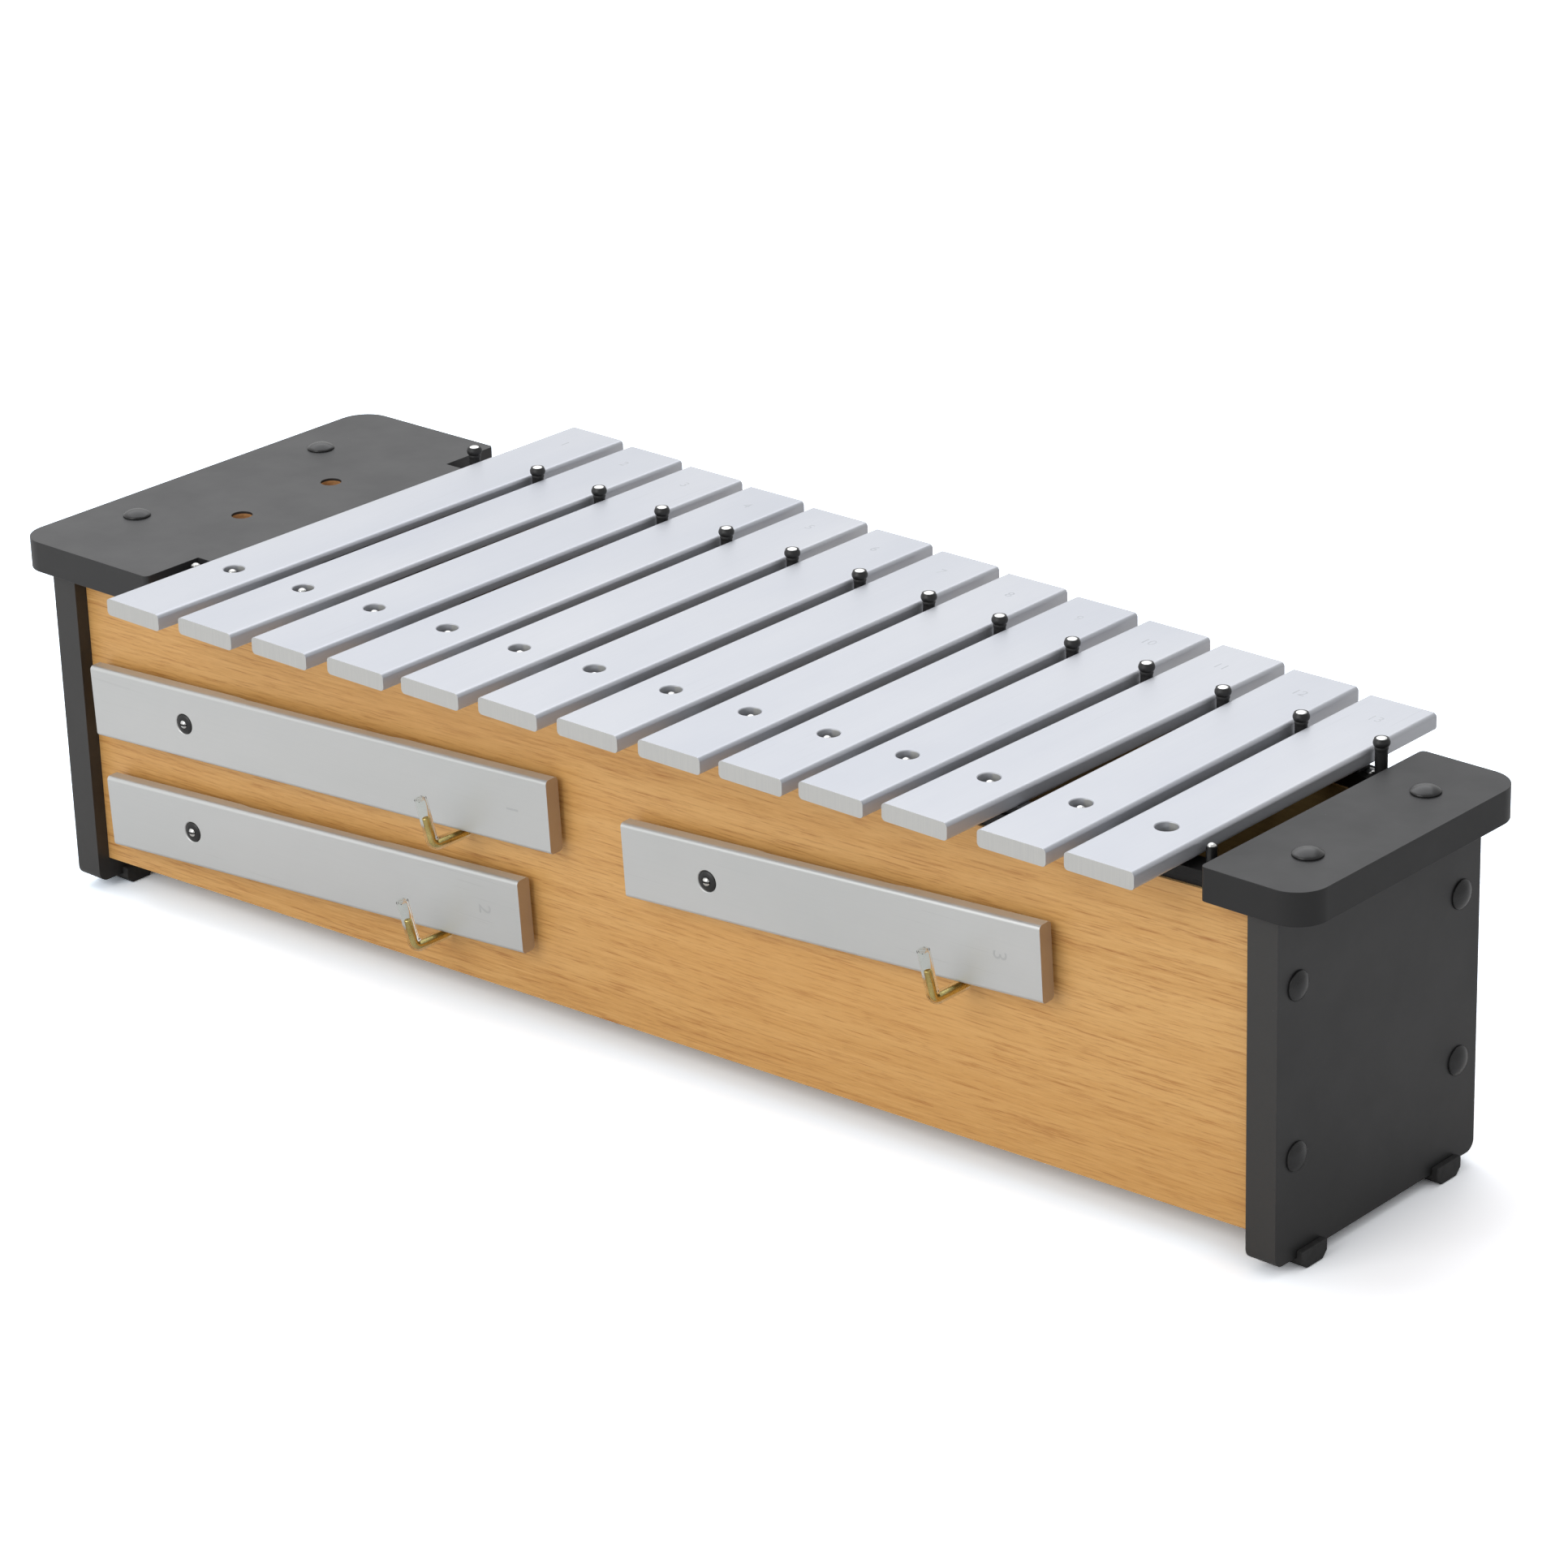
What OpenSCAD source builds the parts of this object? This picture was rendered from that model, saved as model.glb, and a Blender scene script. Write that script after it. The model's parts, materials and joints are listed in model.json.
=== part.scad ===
// Alto metallophone: thirteen loose metal playing bars on a tapered resonator
// box, with three spare bars hung on the front panel.
// Millimetres, +Z up. Feet stand on z = 0, x = 0 is mid-way between the end
// boards, low notes at -X, the spare bars face -Y.

/* [Resonator box] */
// depth of the left (low note) end board
left_depth = 215; // [190:1:250]
// depth of the right (high note) end board
right_depth = 139; // [120:1:170]
// height of the end boards
board_h = 156.5; // [130:0.5:190]
// thickness of the end boards
board_t = 15; // [12:0.5:18]
// radius of the boards' bottom corners
board_r = 5; // [2:0.5:9]
// thickness of the front and rear panels
panel_t = 15; // [12:0.5:17]
// set-back of the panels behind the boards' edges
panel_setback = 6; // [2:0.5:9]
// gap between the boards' bottom edge and the panels' bottom edge
panel_rise = 10.8; // [6:0.2:16]
// thickness of the bottom panel
bottom_t = 4; // [3:0.5:8]
// height and width of the battens that carry the bottom panel
batten = 10; // [8:0.5:14]
// thickness of the two dividers inside the box
divider_t = 9; // [6:0.5:12]

/* [Top caps] */
// thickness of the two caps
cap_t = 15; // [12:0.5:18]
// width of the left cap
left_cap_w = 90.6; // [80:0.2:98]
// width of the right cap
right_cap_w = 51.5; // [44:0.5:56]
// overhang of the caps beyond the end boards
cap_out = 17.2; // [8:0.2:24]
// overhang of the caps beyond the boards' front and rear edges
cap_over = 5.8; // [2:0.2:12]
// radius of the caps' outer corners
cap_r = 15; // [6:0.5:20]
// diameter of the two beater holes in the left cap
beater_d = 10; // [8:0.2:14]
// distance of the beater holes from the left end board's outer face
beater_in = 47; // [40:0.5:56]
// distance between the two beater holes
beater_gap = 58; // [40:1:90]

/* [Playing bars] */
// distance from the left cap to the middle of the lowest bar
low_gap = 34.8; // [30:0.2:50]
// distance from the middle of the highest bar to the right cap
high_gap = 29.9; // [28:0.1:50]
// width of every bar
bar_w = 35; // [28:0.5:44]
// thickness of every bar
bar_t = 8; // [6:0.5:9]
// length of the lowest bar
bar_len_low = 299; // [260:1:330]
// length of the highest bar
bar_len_high = 207.5; // [190:0.5:230]
// rounding of the bars' long edges
bar_r = 2; // [0.8:0.1:2.5]
// diameter of the hole near one end of every bar
bar_hole_d = 9.8; // [8:0.1:12]
// depth of the tuning arch under the lowest bar
arch_low = 3.6; // [1:0.1:4]
// depth of the tuning arch under the highest bar
arch_high = 1.0; // [0.5:0.1:2]

/* [Rails, pins and pegs] */
// width of the rails on the panels
rail_w = 12; // [9:0.5:14]
// height of the rails
rail_h = 7; // [5:0.5:10]
// width of the felt strips
felt_w = 8; // [6:0.5:10]
// height of the felt strips
felt_h = 4; // [2:0.5:6]
// shank diameter of the steel pins
pin_d = 3; // [2.5:0.1:3.4]
// head diameter of the steel pins
pin_head_d = 4; // [3.6:0.1:4.6]
// outer diameter of the sleeves on the front pins
sleeve_d = 4.6; // [4:0.1:5.2]
// post diameter of the rear pegs
peg_d = 5.6; // [4.6:0.1:6]
// head diameter of the rear pegs
peg_head_d = 7.4; // [6.4:0.1:9]
// height of the peg heads
peg_head_h = 5.6; // [4:0.1:7]
// height of the peg tops above the bars
peg_above = 5.6; // [5:0.1:8]
// room between a peg head and the bar beside it
peg_clear = 0.2; // [0.15:0.05:1.5]

/* [Spare bars on the front] */
// lengths of the three spare bars
spare_lens = [283.5, 258.5, 224]; // [200:0.5:300]
// gap between the panel and a hung bar
spare_gap = 3; // [2:0.5:5]
// diameter of the pins that carry the spare bars
spare_pin_d = 4; // [3:0.2:5]
// length of those pins in front of a hung bar
spare_pin_out = 1.4; // [1:0.2:4]
// room all round between a spare bar's hole and the sleeve it turns on
spare_clear = 0.08; // [0.04:0.01:0.1]
// wire diameter of the screw hooks
hook_d = 2.9; // [2.4:0.1:3.4]
// distance from the panel to the bend of a hook
hook_reach = 25; // [20:0.5:30]
// angle at which a hook's arm leans outward
hook_lean = 15; // [0:1:25]
// angle at which a hook's shank rises outward
hook_rise = 3; // [0:0.5:5]
// length of wire in the arm of a hook
hook_arm = 15.6; // [10:0.2:20]
// outside diameter of the clear tube on a hook
tube_d = 5.6; // [4.6:0.1:6.6]
// wall of the clear tube above the end of the wire
tube_wall = 0.7; // [0.4:0.1:1]
// length of the clear tube along the arm
tube_len = 25.5; // [18:0.5:30]

/* [Feet and screws] */
// thickness of the rubber under a board
foot_h = 5; // [3:0.5:8]
// thickness of a foot's lips beside the board
foot_lip = 3.6; // [2:0.2:6]
// height of a foot's lips above the board's bottom edge
foot_up = 3.4; // [2:0.2:8]
// length of a foot
foot_len = 17; // [12:1:30]
// distance from a board's front edge to the middle of a foot
foot_in = 22.5; // [14:0.5:30]
// diameter of the screw covers
cover_d = 13.2; // [11:0.2:16]
// height of the screw covers
cover_h = 3; // [2:0.1:4]

/* [Hidden] */
$fn = 64;
eps = 0.01;
bar_pitch = bar_w + peg_head_d + 2 * peg_clear;
box_len = left_cap_w + low_gap + 12 * bar_pitch + high_gap + right_cap_w - 2 * cap_out;
hx = box_len / 2;
z0 = foot_h;                       // bottom of the end boards
z_cap = z0 + board_h;              // top of boards and panels
z_cap_top = z_cap + cap_t;
z_rail = z_cap + rail_h;
z_bar = z_rail + felt_h;           // underside of the playing bars
z_bar_top = z_bar + bar_t;
z_panel = z0 + panel_rise;
z_bottom = z_panel + batten;       // underside of the bottom panel
slope = (left_depth - right_depth) / 2 / box_len;
tilt = atan(slope);
half_low = left_depth / 2 - panel_setback;
left_in = left_cap_w - cap_out - hx;       // inner edge of the left cap
right_in = hx + cap_out - right_cap_w;     // inner edge of the right cap
bar_x0 = left_in + low_gap;        // middle of the lowest bar
spare_sleeve_d = bar_hole_d - 2 * spare_clear;
arch_f = 0.62;                     // part of the span between rails that is arched
hole_f = 0.21;                     // hole position along a spare bar
pin_in = 18;                       // depth of pins and pegs in rail and panel
peg_hole_d = 2.2;
nail_head_d = 4;                   // head of the nail through each peg
nail_in = 1;                       // depth of that head in the peg's rim
nail_up = 0.8;                     // height of its dome above the rim
screw_d = 4;
screw_head_d = 7.6;
screw_rim = 0.4;                   // straight rim of a countersunk head
board_screw_l = 60;
cap_screw_l = 50;
rail_screw_d = 3;
rail_screw_l = 24;
rail_screw_head_d = 5.4;
cover_rim = 0.8;                   // straight rim of a screw cover
// every bar lies slightly askew: the part of its hole's play taken up sideways
askew = [-0.92, -0.7, -0.29, 0.17, 0, 0.16, 0.31, 0.55, 0.39, -0.19, -0.54, 0.86, 0.5];
hole_play = (bar_hole_d - sleeve_d) / 2 - 0.1;
// where each front pin stands in its bar's hole, as a part of the same play
pin_side = [-0.48, -0.28, -0.07, 0.02, 0, -0.12, -0.02, 0.1, -0.45, -0.4, 0.12, -0.22, 0];
end_pin_side = 1.4;                // the pin beside the highest bar, right of the end peg
low_pin_side = 5.6;                // the pin beside the lowest bar, left of the end peg's place
low_peg_side = 2.2;                // the low end peg, left of its place in the row
// depth of each front pin's head below the top of the bars
pin_depths = [0.5, 0.3, 1.2, 1.4, 1.4, 1.9, 1.2, 1.4, 1.4, 1.5, 1.2, 1.4, 2.4, 1.8, 2.4];
// spare bars: pin along the panel, pin height, rest angle, hook along the panel
spare_at = [[85, 104.8, 1.95], [85, 50.3, 2.55], [398.2, 105.2, 2.45]];
hook_at = [167.2, 152.3, 132.2];
hook_bend_r = 4.5;
hook_in = 12.5;                    // depth of a hook's thread in the panel
spare_pin_in = 12;                 // depth of a spare bar's pin in the panel
hook_turn = 90 - hook_lean - hook_rise;    // angle the wire turns through
hook_tail = hook_bend_r * tan(hook_turn / 2);   // straight lost to the bend
lap = 0.2;                         // run of a hook's straight wire into its bend
lap_step = 0.02;
rest_gap = 0.3;                    // room between a resting spare bar and its hook
divider_low = 12;                  // how far the dividers stop below the top of the panels
cap_inner_r = 2.5;                 // radius of the caps' corners beside the bars
tongue = low_gap - bar_w / 2 - 4.2;    // how far the left cap reaches in between the rails
tongue_side = 2.3;                 // room between its sides and the rails
felt_in = 9;                       // distance of the felts' ends from the end pegs
foot_slant = 3.2;                  // how much the lower corners of a foot are cut away

// half the depth of the box at the panels' outer faces
function face_y(x) = half_low - slope * (x + hx);
// middle line of a panel, where rails, pins and pegs stand
function mid_y(x) = face_y(x) - panel_t / 2 / cos(tilt);
function bar_x(i) = bar_x0 + i * bar_pitch;
function peg_x(i) = bar_x(i) - bar_pitch / 2;
function bar_len(i) = bar_len_low + (bar_len_high - bar_len_low) * i / 12;
function arch(i) = arch_low + (arch_high - arch_low) * i / 12;
function skew(i) = asin(askew[i] * hole_play / 2 / mid_y(bar_x(i)));
// front pins 0 to 12 stand in the bars' holes, 13 and 14 beside the end bars
function pin_x(i) = i < 13 ? bar_x(i) + (askew[i] + pin_side[i]) * hole_play
    : i == 13 ? peg_x(13) + end_pin_side : peg_x(0) - low_pin_side;
board_y = [left_depth / 2, right_depth / 2];
cap_y = [left_depth / 2 + cap_over, right_depth / 2 + cap_over];
screw_zs = [z0 + 0.297 * board_h, z0 + 0.782 * board_h];
cap_screw_y = [board_y[0] * 0.557, board_y[1] * 0.576];
// distance of the rails' screws from the end pegs, under the end bars' edges
rail_screw_in = rail_screw_head_d / 2 + 3;

board_c = [0.17, 0.17, 0.17];
wood_c = [0.78, 0.6, 0.37];
inner_c = [0.8, 0.68, 0.5];
metal_c = [0.84, 0.86, 0.89];
steel_c = [0.75, 0.75, 0.77];
black_c = [0.09, 0.09, 0.09];
brass_c = [0.83, 0.7, 0.38];

// ---- shared shapes ------------------------------------------------------

// rectangle with four rounded corners, centred
module round_rect(w, h, r) {
    square([w - 2 * r, h], center = true);
    square([w, h - 2 * r], center = true);
    for (sx = [-1, 1], sy = [-1, 1])
        translate([sx * (w / 2 - r), sy * (h / 2 - r)]) circle(r = r);
}

// plank between two x values whose long sides follow the taper of the box;
// a and b are the offsets of its two sides inward from the panel's outer face
module taper_plank(x1, x2, a, b, z, h) {
    translate([0, 0, z]) linear_extrude(h)
        polygon([[x1, face_y(x1) - a], [x2, face_y(x2) - a], [x2, face_y(x2) - b], [x1, face_y(x1) - b]]);
}

module place_front_pins() {
    for (i = [0:14]) translate([pin_x(i), -mid_y(pin_x(i)), 0]) children();
}

module place_pegs() {
    for (i = [0:13]) {
        x = peg_x(i) - (i == 0 ? low_peg_side : 0);
        translate([x, mid_y(x), 0]) children();
    }
}

// the pins hold the front rail, two screws the rear one
module place_rail_screws() {
    for (x = [peg_x(0) + rail_screw_in, peg_x(13) - rail_screw_in])
        translate([x, mid_y(x), 0]) children();
}

// frame on the front panel: x along the panel from the left board, -y outward
module on_panel(t, z) {
    translate([-hx, -half_low, 0]) rotate([0, 0, tilt]) translate([t, 0, z]) children();
}

module place_spare_pins() {
    for (k = [0:2]) on_panel(spare_at[k][0], spare_at[k][1]) rotate([90, 0, 0]) children();
}

// frame of a hook: origin on the panel's face, -y outward along the screw
module place_hooks() {
    for (k = [0:2]) {
        t = spare_at[k][0] + hook_at[k];
        zb = spare_at[k][1] + hook_at[k] * tan(spare_at[k][2]) - bar_w / 2 / cos(spare_at[k][2]);
        on_panel(t, zb - tube_d / 2 - rest_gap - (spare_gap + bar_t) * tan(hook_rise))
            rotate([-hook_rise, 0, 0]) children();
    }
}

// frame at the end of a hook's bend: -y along its arm
module on_arm() {
    translate([0, hook_tail - hook_reach, hook_bend_r]) rotate([-hook_turn, 0, 0])
        translate([0, 0, -hook_bend_r]) children();
}

module place_board_screws(side) {
    for (s = [-1, 1], z = screw_zs)
        translate([side * hx, s * mid_y(side * hx), z]) rotate([0, side * 90, 0]) children();
}

module place_cap_screws(k) {
    for (s = [-1, 1])
        translate([(2 * k - 1) * (hx - board_t / 2), s * cap_screw_y[k], z_cap_top]) children();
}

// countersunk wood screw hanging from z = 0
module wood_screw(len) {
    taper = (screw_head_d - screw_d) / 2;
    translate([0, 0, -screw_rim]) cylinder(h = screw_rim, d = screw_head_d);
    translate([0, 0, -screw_rim - taper]) cylinder(h = taper, d1 = screw_d, d2 = screw_head_d);
    translate([0, 0, -len]) cylinder(h = len - 1, d = screw_d);
}

// domed plastic cover standing on z = 0
module cover() {
    rise = cover_h - cover_rim;
    dome_r = (cover_d * cover_d / 4 + rise * rise) / 2 / rise;
    cylinder(h = cover_rim, d = cover_d);
    intersection() {
        translate([0, 0, cover_h - dome_r]) sphere(r = dome_r, $fn = 96);
        translate([0, 0, cover_rim - eps]) cylinder(h = cover_h, d = cover_d);
    }
}

// ---- resonator box ------------------------------------------------------

module end_board(side) {
    k = side > 0 ? 1 : 0;
    xc = side * (hx - board_t / 2);
    color(board_c) difference() {
        translate([xc - board_t / 2, 0, z0]) rotate([90, 0, 90]) linear_extrude(board_t) union() {
            translate([-board_y[k] + board_r, 0]) square([2 * board_y[k] - 2 * board_r, board_h]);
            translate([-board_y[k], board_r]) square([2 * board_y[k], board_h - board_r]);
            for (s = [-1, 1]) translate([s * (board_y[k] - board_r), board_r]) circle(r = board_r);
        }
        place_board_screws(side) wood_screw(board_screw_l);
        place_cap_screws(k) wood_screw(cap_screw_l);
    }
}

module left_end_board() { end_board(-1); }
module right_end_board() { end_board(1); }

module panel(s) {
    difference() {
        mirror([0, s < 0 ? 1 : 0, 0])
            taper_plank(-hx + board_t, hx - board_t, 0, panel_t / cos(tilt), z_panel, z_cap - z_panel);
        for (side = [-1, 1]) place_board_screws(side) wood_screw(board_screw_l);
        place_rail_screws() translate([0, 0, z_rail - rail_screw_l])
            cylinder(h = rail_screw_l, d = rail_screw_d);
        if (s < 0) {
            place_front_pins() translate([0, 0, z_rail - pin_in]) cylinder(h = pin_in, d = pin_d);
            place_spare_pins() translate([0, 0, -spare_pin_in])
                cylinder(h = spare_pin_in + 2, d = spare_pin_d);
            place_hooks() rotate([90, 0, 0]) translate([0, 0, -hook_in])
                cylinder(h = hook_in + 4, d = hook_d);
        } else place_pegs() translate([0, 0, z_rail - pin_in]) cylinder(h = pin_in, d = peg_hole_d);
    }
}

module front_panel() { color(wood_c) panel(-1); }
module rear_panel() { color(wood_c) panel(1); }

// board inside the box that reaches from panel to panel
module inner_board(x1, x2, z, h) {
    b = panel_t / cos(tilt);
    color(inner_c) translate([0, 0, z]) linear_extrude(h)
        polygon([[x1, b - face_y(x1)], [x2, b - face_y(x2)], [x2, face_y(x2) - b], [x1, face_y(x1) - b]]);
}

module bottom_panel() { inner_board(-hx + board_t, hx - board_t, z_bottom, bottom_t); }

module batten_strip() {
    b = panel_t / cos(tilt);
    taper_plank(-hx + board_t, hx - board_t, b, b + batten, z_panel, batten);
}

module front_batten() { color(inner_c) mirror([0, 1, 0]) batten_strip(); }
module rear_batten() { color(inner_c) batten_strip(); }

module divider(x) {
    z = z_bottom + bottom_t;
    inner_board(x - divider_t / 2, x + divider_t / 2, z, z_cap - divider_low - z);
}

module low_divider() { divider(peg_x(4)); }
module high_divider() { divider(peg_x(8)); }

// ---- caps ---------------------------------------------------------------

module cap_plan(w, d, side) {
    ri = cap_inner_r;
    union() {
        translate([side * -w / 2 - (side > 0 ? 0 : ri), -d / 2 + ri]) square([ri, d - 2 * ri]);
        for (s = [-1, 1]) translate([side * (ri - w / 2), s * (d / 2 - ri)]) circle(r = ri);
        translate([side > 0 ? ri - w / 2 : cap_r - w / 2, -d / 2]) square([w - ri - cap_r, d]);
        translate([side > 0 ? w / 2 - cap_r : -w / 2, -d / 2 + cap_r]) square([cap_r, d - 2 * cap_r]);
        for (s = [-1, 1]) translate([side * (w / 2 - cap_r), s * (d / 2 - cap_r)]) circle(r = cap_r);
    }
}

// the left cap reaches further in between the rails, to just short of the lowest bar
module cap_tongue() {
    y = mid_y(left_in + tongue) - rail_w / 2 / cos(tilt) - tongue_side;
    ri = cap_inner_r;
    square_end = left_in + tongue - ri;
    translate([left_in - 2, -y]) square([square_end - left_in + 2, 2 * y]);
    translate([square_end - eps, ri - y]) square([ri + eps, 2 * (y - ri)]);
    for (s = [-1, 1]) translate([square_end, s * (y - ri)]) circle(r = ri);
}

module left_cap() {
    color(board_c) difference() {
        translate([0, 0, z_cap]) linear_extrude(cap_t) union() {
            translate([-hx - cap_out + left_cap_w / 2, 0]) cap_plan(left_cap_w, 2 * cap_y[0], -1);
            cap_tongue();
        }
        for (s = [-1, 1]) translate([beater_in - hx, s * beater_gap / 2, z_cap - 1])
            cylinder(h = cap_t + 2, d = beater_d);
        place_cap_screws(0) wood_screw(cap_screw_l);
    }
}

module right_cap() {
    color(board_c) difference() {
        translate([hx + cap_out - right_cap_w / 2, 0, z_cap]) linear_extrude(cap_t)
            cap_plan(right_cap_w, 2 * cap_y[1], 1);
        place_cap_screws(1) wood_screw(cap_screw_l);
    }
}

// ---- rails, felts, pins and pegs ---------------------------------------

module strip(s, x1, x2, w, z, h) {
    a = (panel_t - w) / 2 / cos(tilt);
    mirror([0, s < 0 ? 1 : 0, 0]) taper_plank(x1, x2, a, a + w / cos(tilt), z, h);
}

module rail(s) {
    difference() {
        strip(s, left_in, right_in, rail_w, z_cap, rail_h);
        place_rail_screws() translate([0, 0, z_cap - 1]) cylinder(h = rail_h + 2, d = rail_screw_d);
        if (s < 0) place_front_pins() translate([0, 0, z_cap - 15]) cylinder(h = 40, d = pin_d);
        else place_pegs() translate([0, 0, z_cap - 1]) cylinder(h = 40, d = peg_hole_d);
    }
}

module front_rail() { color(black_c) rail(-1); }
module rear_rail() { color(black_c) rail(1); }

module felt(s) {
    difference() {
        strip(s, peg_x(0) + felt_in, peg_x(13) - felt_in, felt_w, z_rail, felt_h);
        if (s < 0) place_front_pins() translate([0, 0, z_rail - 15]) cylinder(h = 30, d = sleeve_d);
        else place_pegs() translate([0, 0, z_rail - 1]) cylinder(h = felt_h + 2, d = peg_d);
    }
}

module front_felt() { color(black_c) felt(-1); }
module rear_felt() { color(black_c) felt(1); }

// steel pins with domed heads, driven in by hand to slightly different depths
module front_pins() {
    color(steel_c) for (i = [0:14]) {
        zt = z_bar_top - pin_depths[i];
        translate([pin_x(i), -mid_y(pin_x(i)), 0]) {
            translate([0, 0, z_rail - pin_in]) cylinder(h = zt - 1 - z_rail + pin_in, d = pin_d);
            translate([0, 0, zt - 1]) cylinder(h = 0.5, d = pin_head_d);
            translate([0, 0, zt - 0.5]) cylinder(h = 0.5, d1 = pin_head_d, d2 = pin_head_d - 1);
        }
    }
}

module front_pin_sleeves() {
    color(black_c) for (i = [0:14]) {
        zt = z_bar_top - pin_depths[i] - 1;
        translate([pin_x(i), -mid_y(pin_x(i)), z_rail]) difference() {
            cylinder(h = zt - z_rail, d = sleeve_d);
            translate([0, 0, -1]) cylinder(h = zt - z_rail + 2, d = pin_d);
        }
    }
}

// rubber pegs between the bars: a post with a swollen head, and a nail whose
// head sits in the rim of the peg's top
module rear_pegs() {
    h = z_bar_top + peg_above - nail_up - z_rail;
    pr = peg_d / 2;
    hr = peg_head_d / 2;
    hh = peg_head_h;
    nr = nail_head_d / 2;
    color(black_c) place_pegs() translate([0, 0, z_rail]) rotate_extrude()
        polygon([[peg_hole_d / 2, 0], [pr, 0], [pr, h - hh], [hr - 0.45, h - hh * 0.78],
            [hr, h - hh * 0.5], [hr, h - hh * 0.3], [hr - 0.2, h - hh * 0.1], [hr - 0.55, h],
            [nr + 0.2, h], [nr, h - nail_in], [peg_hole_d / 2, h - nail_in]]);
}

module rear_peg_cores() {
    z = z_bar_top + peg_above;
    color(steel_c) place_pegs() {
        translate([0, 0, z_rail - pin_in])
            cylinder(h = z - nail_up - nail_in - z_rail + pin_in, d = peg_hole_d);
        translate([0, 0, z - nail_up - nail_in]) cylinder(h = nail_in, d = nail_head_d);
        translate([0, 0, z - nail_up]) cylinder(h = nail_up, d1 = nail_head_d, d2 = nail_head_d / 2);
    }
}

module rail_screws() {
    color(steel_c) place_rail_screws() {
        translate([0, 0, z_rail - rail_screw_l]) cylinder(h = rail_screw_l, d = rail_screw_d);
        translate([0, 0, z_rail]) cylinder(h = 1, d = rail_screw_head_d);
        translate([0, 0, z_rail + 1])
            cylinder(h = 0.6, d1 = rail_screw_head_d, d2 = rail_screw_head_d - 1.4);
    }
}

// ---- screws and covers --------------------------------------------------

module cap_screws() {
    color(steel_c) for (k = [0, 1]) place_cap_screws(k) wood_screw(cap_screw_l);
}

module cap_screw_covers() {
    color(black_c) for (k = [0, 1]) place_cap_screws(k) cover();
}

module board_screws() {
    color(steel_c) for (side = [-1, 1]) place_board_screws(side) wood_screw(board_screw_l);
}

module board_screw_covers() {
    color(black_c) for (side = [-1, 1]) place_board_screws(side) cover();
}

// ---- spare bars' pins and hooks ----------------------------------------

module spare_pins() {
    l = spare_gap + bar_t + spare_pin_out;
    color(steel_c) place_spare_pins() {
        translate([0, 0, -spare_pin_in]) cylinder(h = spare_pin_in + l - 0.6, d = spare_pin_d);
        translate([0, 0, l - 0.6]) cylinder(h = 0.6, d1 = spare_pin_d, d2 = spare_pin_d - 1.2);
    }
}

module spare_pin_sleeves() {
    l = spare_gap + bar_t;
    color(black_c) place_spare_pins() difference() {
        union() {
            cylinder(h = l - 0.2, d = spare_sleeve_d);
            cylinder(h = spare_gap - 0.1, d = spare_sleeve_d + 3.4);
        }
        translate([0, 0, -1]) cylinder(h = l + 2, d = spare_pin_d);
    }
}

// bend of a hook or its tube, from the shank round to the arm; a hair thicker
// than the straight wire, which runs a little way into it
module hook_bend(d, hole) {
    translate([0, hook_tail - hook_reach, hook_bend_r]) rotate([90, 0, 90])
        rotate([0, 0, 270 - hook_turn]) rotate_extrude(angle = hook_turn)
        translate([hook_bend_r, 0]) difference() {
            circle(d = d + lap_step);
            if (hole > 0) circle(d = hole + lap_step);
        }
}

module hooks() {
    color(brass_c) place_hooks() {
        rotate([90, 0, 0]) translate([0, 0, -hook_in])
            cylinder(h = hook_in + hook_reach - hook_tail + lap, d = hook_d);
        hook_bend(hook_d, 0);
        on_arm() rotate([90, 0, 0]) translate([0, 0, -lap])
            cylinder(h = hook_arm - hook_tail + lap, d = hook_d);
    }
}

// clear tubes pushed over the hooks' wire, open at the top
module hook_tubes() {
    bore = hook_d + 2 * lap_step;
    color([0.85, 0.88, 0.88]) place_hooks() {
        rotate([90, 0, 0]) translate([0, 0, spare_gap]) difference() {
            cylinder(h = hook_reach - hook_tail - spare_gap + lap, d = tube_d);
            translate([0, 0, -1]) cylinder(h = hook_reach, d = bore);
        }
        hook_bend(tube_d, hook_d);
        on_arm() rotate([90, 0, 0]) difference() {
            translate([0, 0, -lap]) cylinder(h = tube_len - hook_tail + lap, d = tube_d);
            translate([0, 0, -1]) cylinder(h = tube_len + 2, d = bore);
            translate([0, 0, hook_arm - hook_tail]) cylinder(h = tube_len, d = tube_d - 2 * tube_wall);
        }
    }
}

// ---- feet ---------------------------------------------------------------

// rubber channel pushed on to the bottom edge of an end board
module foot(side, s) {
    k = side > 0 ? 1 : 0;
    w = board_t + 2 * foot_lip;
    top = foot_h + foot_up;
    end = foot_len / 2;
    color(black_c) translate([side * (hx - board_t / 2), s * (board_y[k] - foot_in), 0]) difference() {
        rotate([90, 0, 90]) translate([0, 0, -w / 2]) linear_extrude(w)
            polygon([[-end, top], [-end, foot_slant], [foot_slant - end, 0], [end - foot_slant, 0],
                [end, foot_slant], [end, top]]);
        translate([-board_t / 2, -foot_len, foot_h]) cube([board_t, 2 * foot_len, foot_up + 1]);
    }
}

module foot_front_left() { foot(-1, -1); }
module foot_rear_left() { foot(-1, 1); }
module foot_front_right() { foot(1, -1); }
module foot_rear_right() { foot(1, 1); }

// ---- bars ---------------------------------------------------------------

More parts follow.
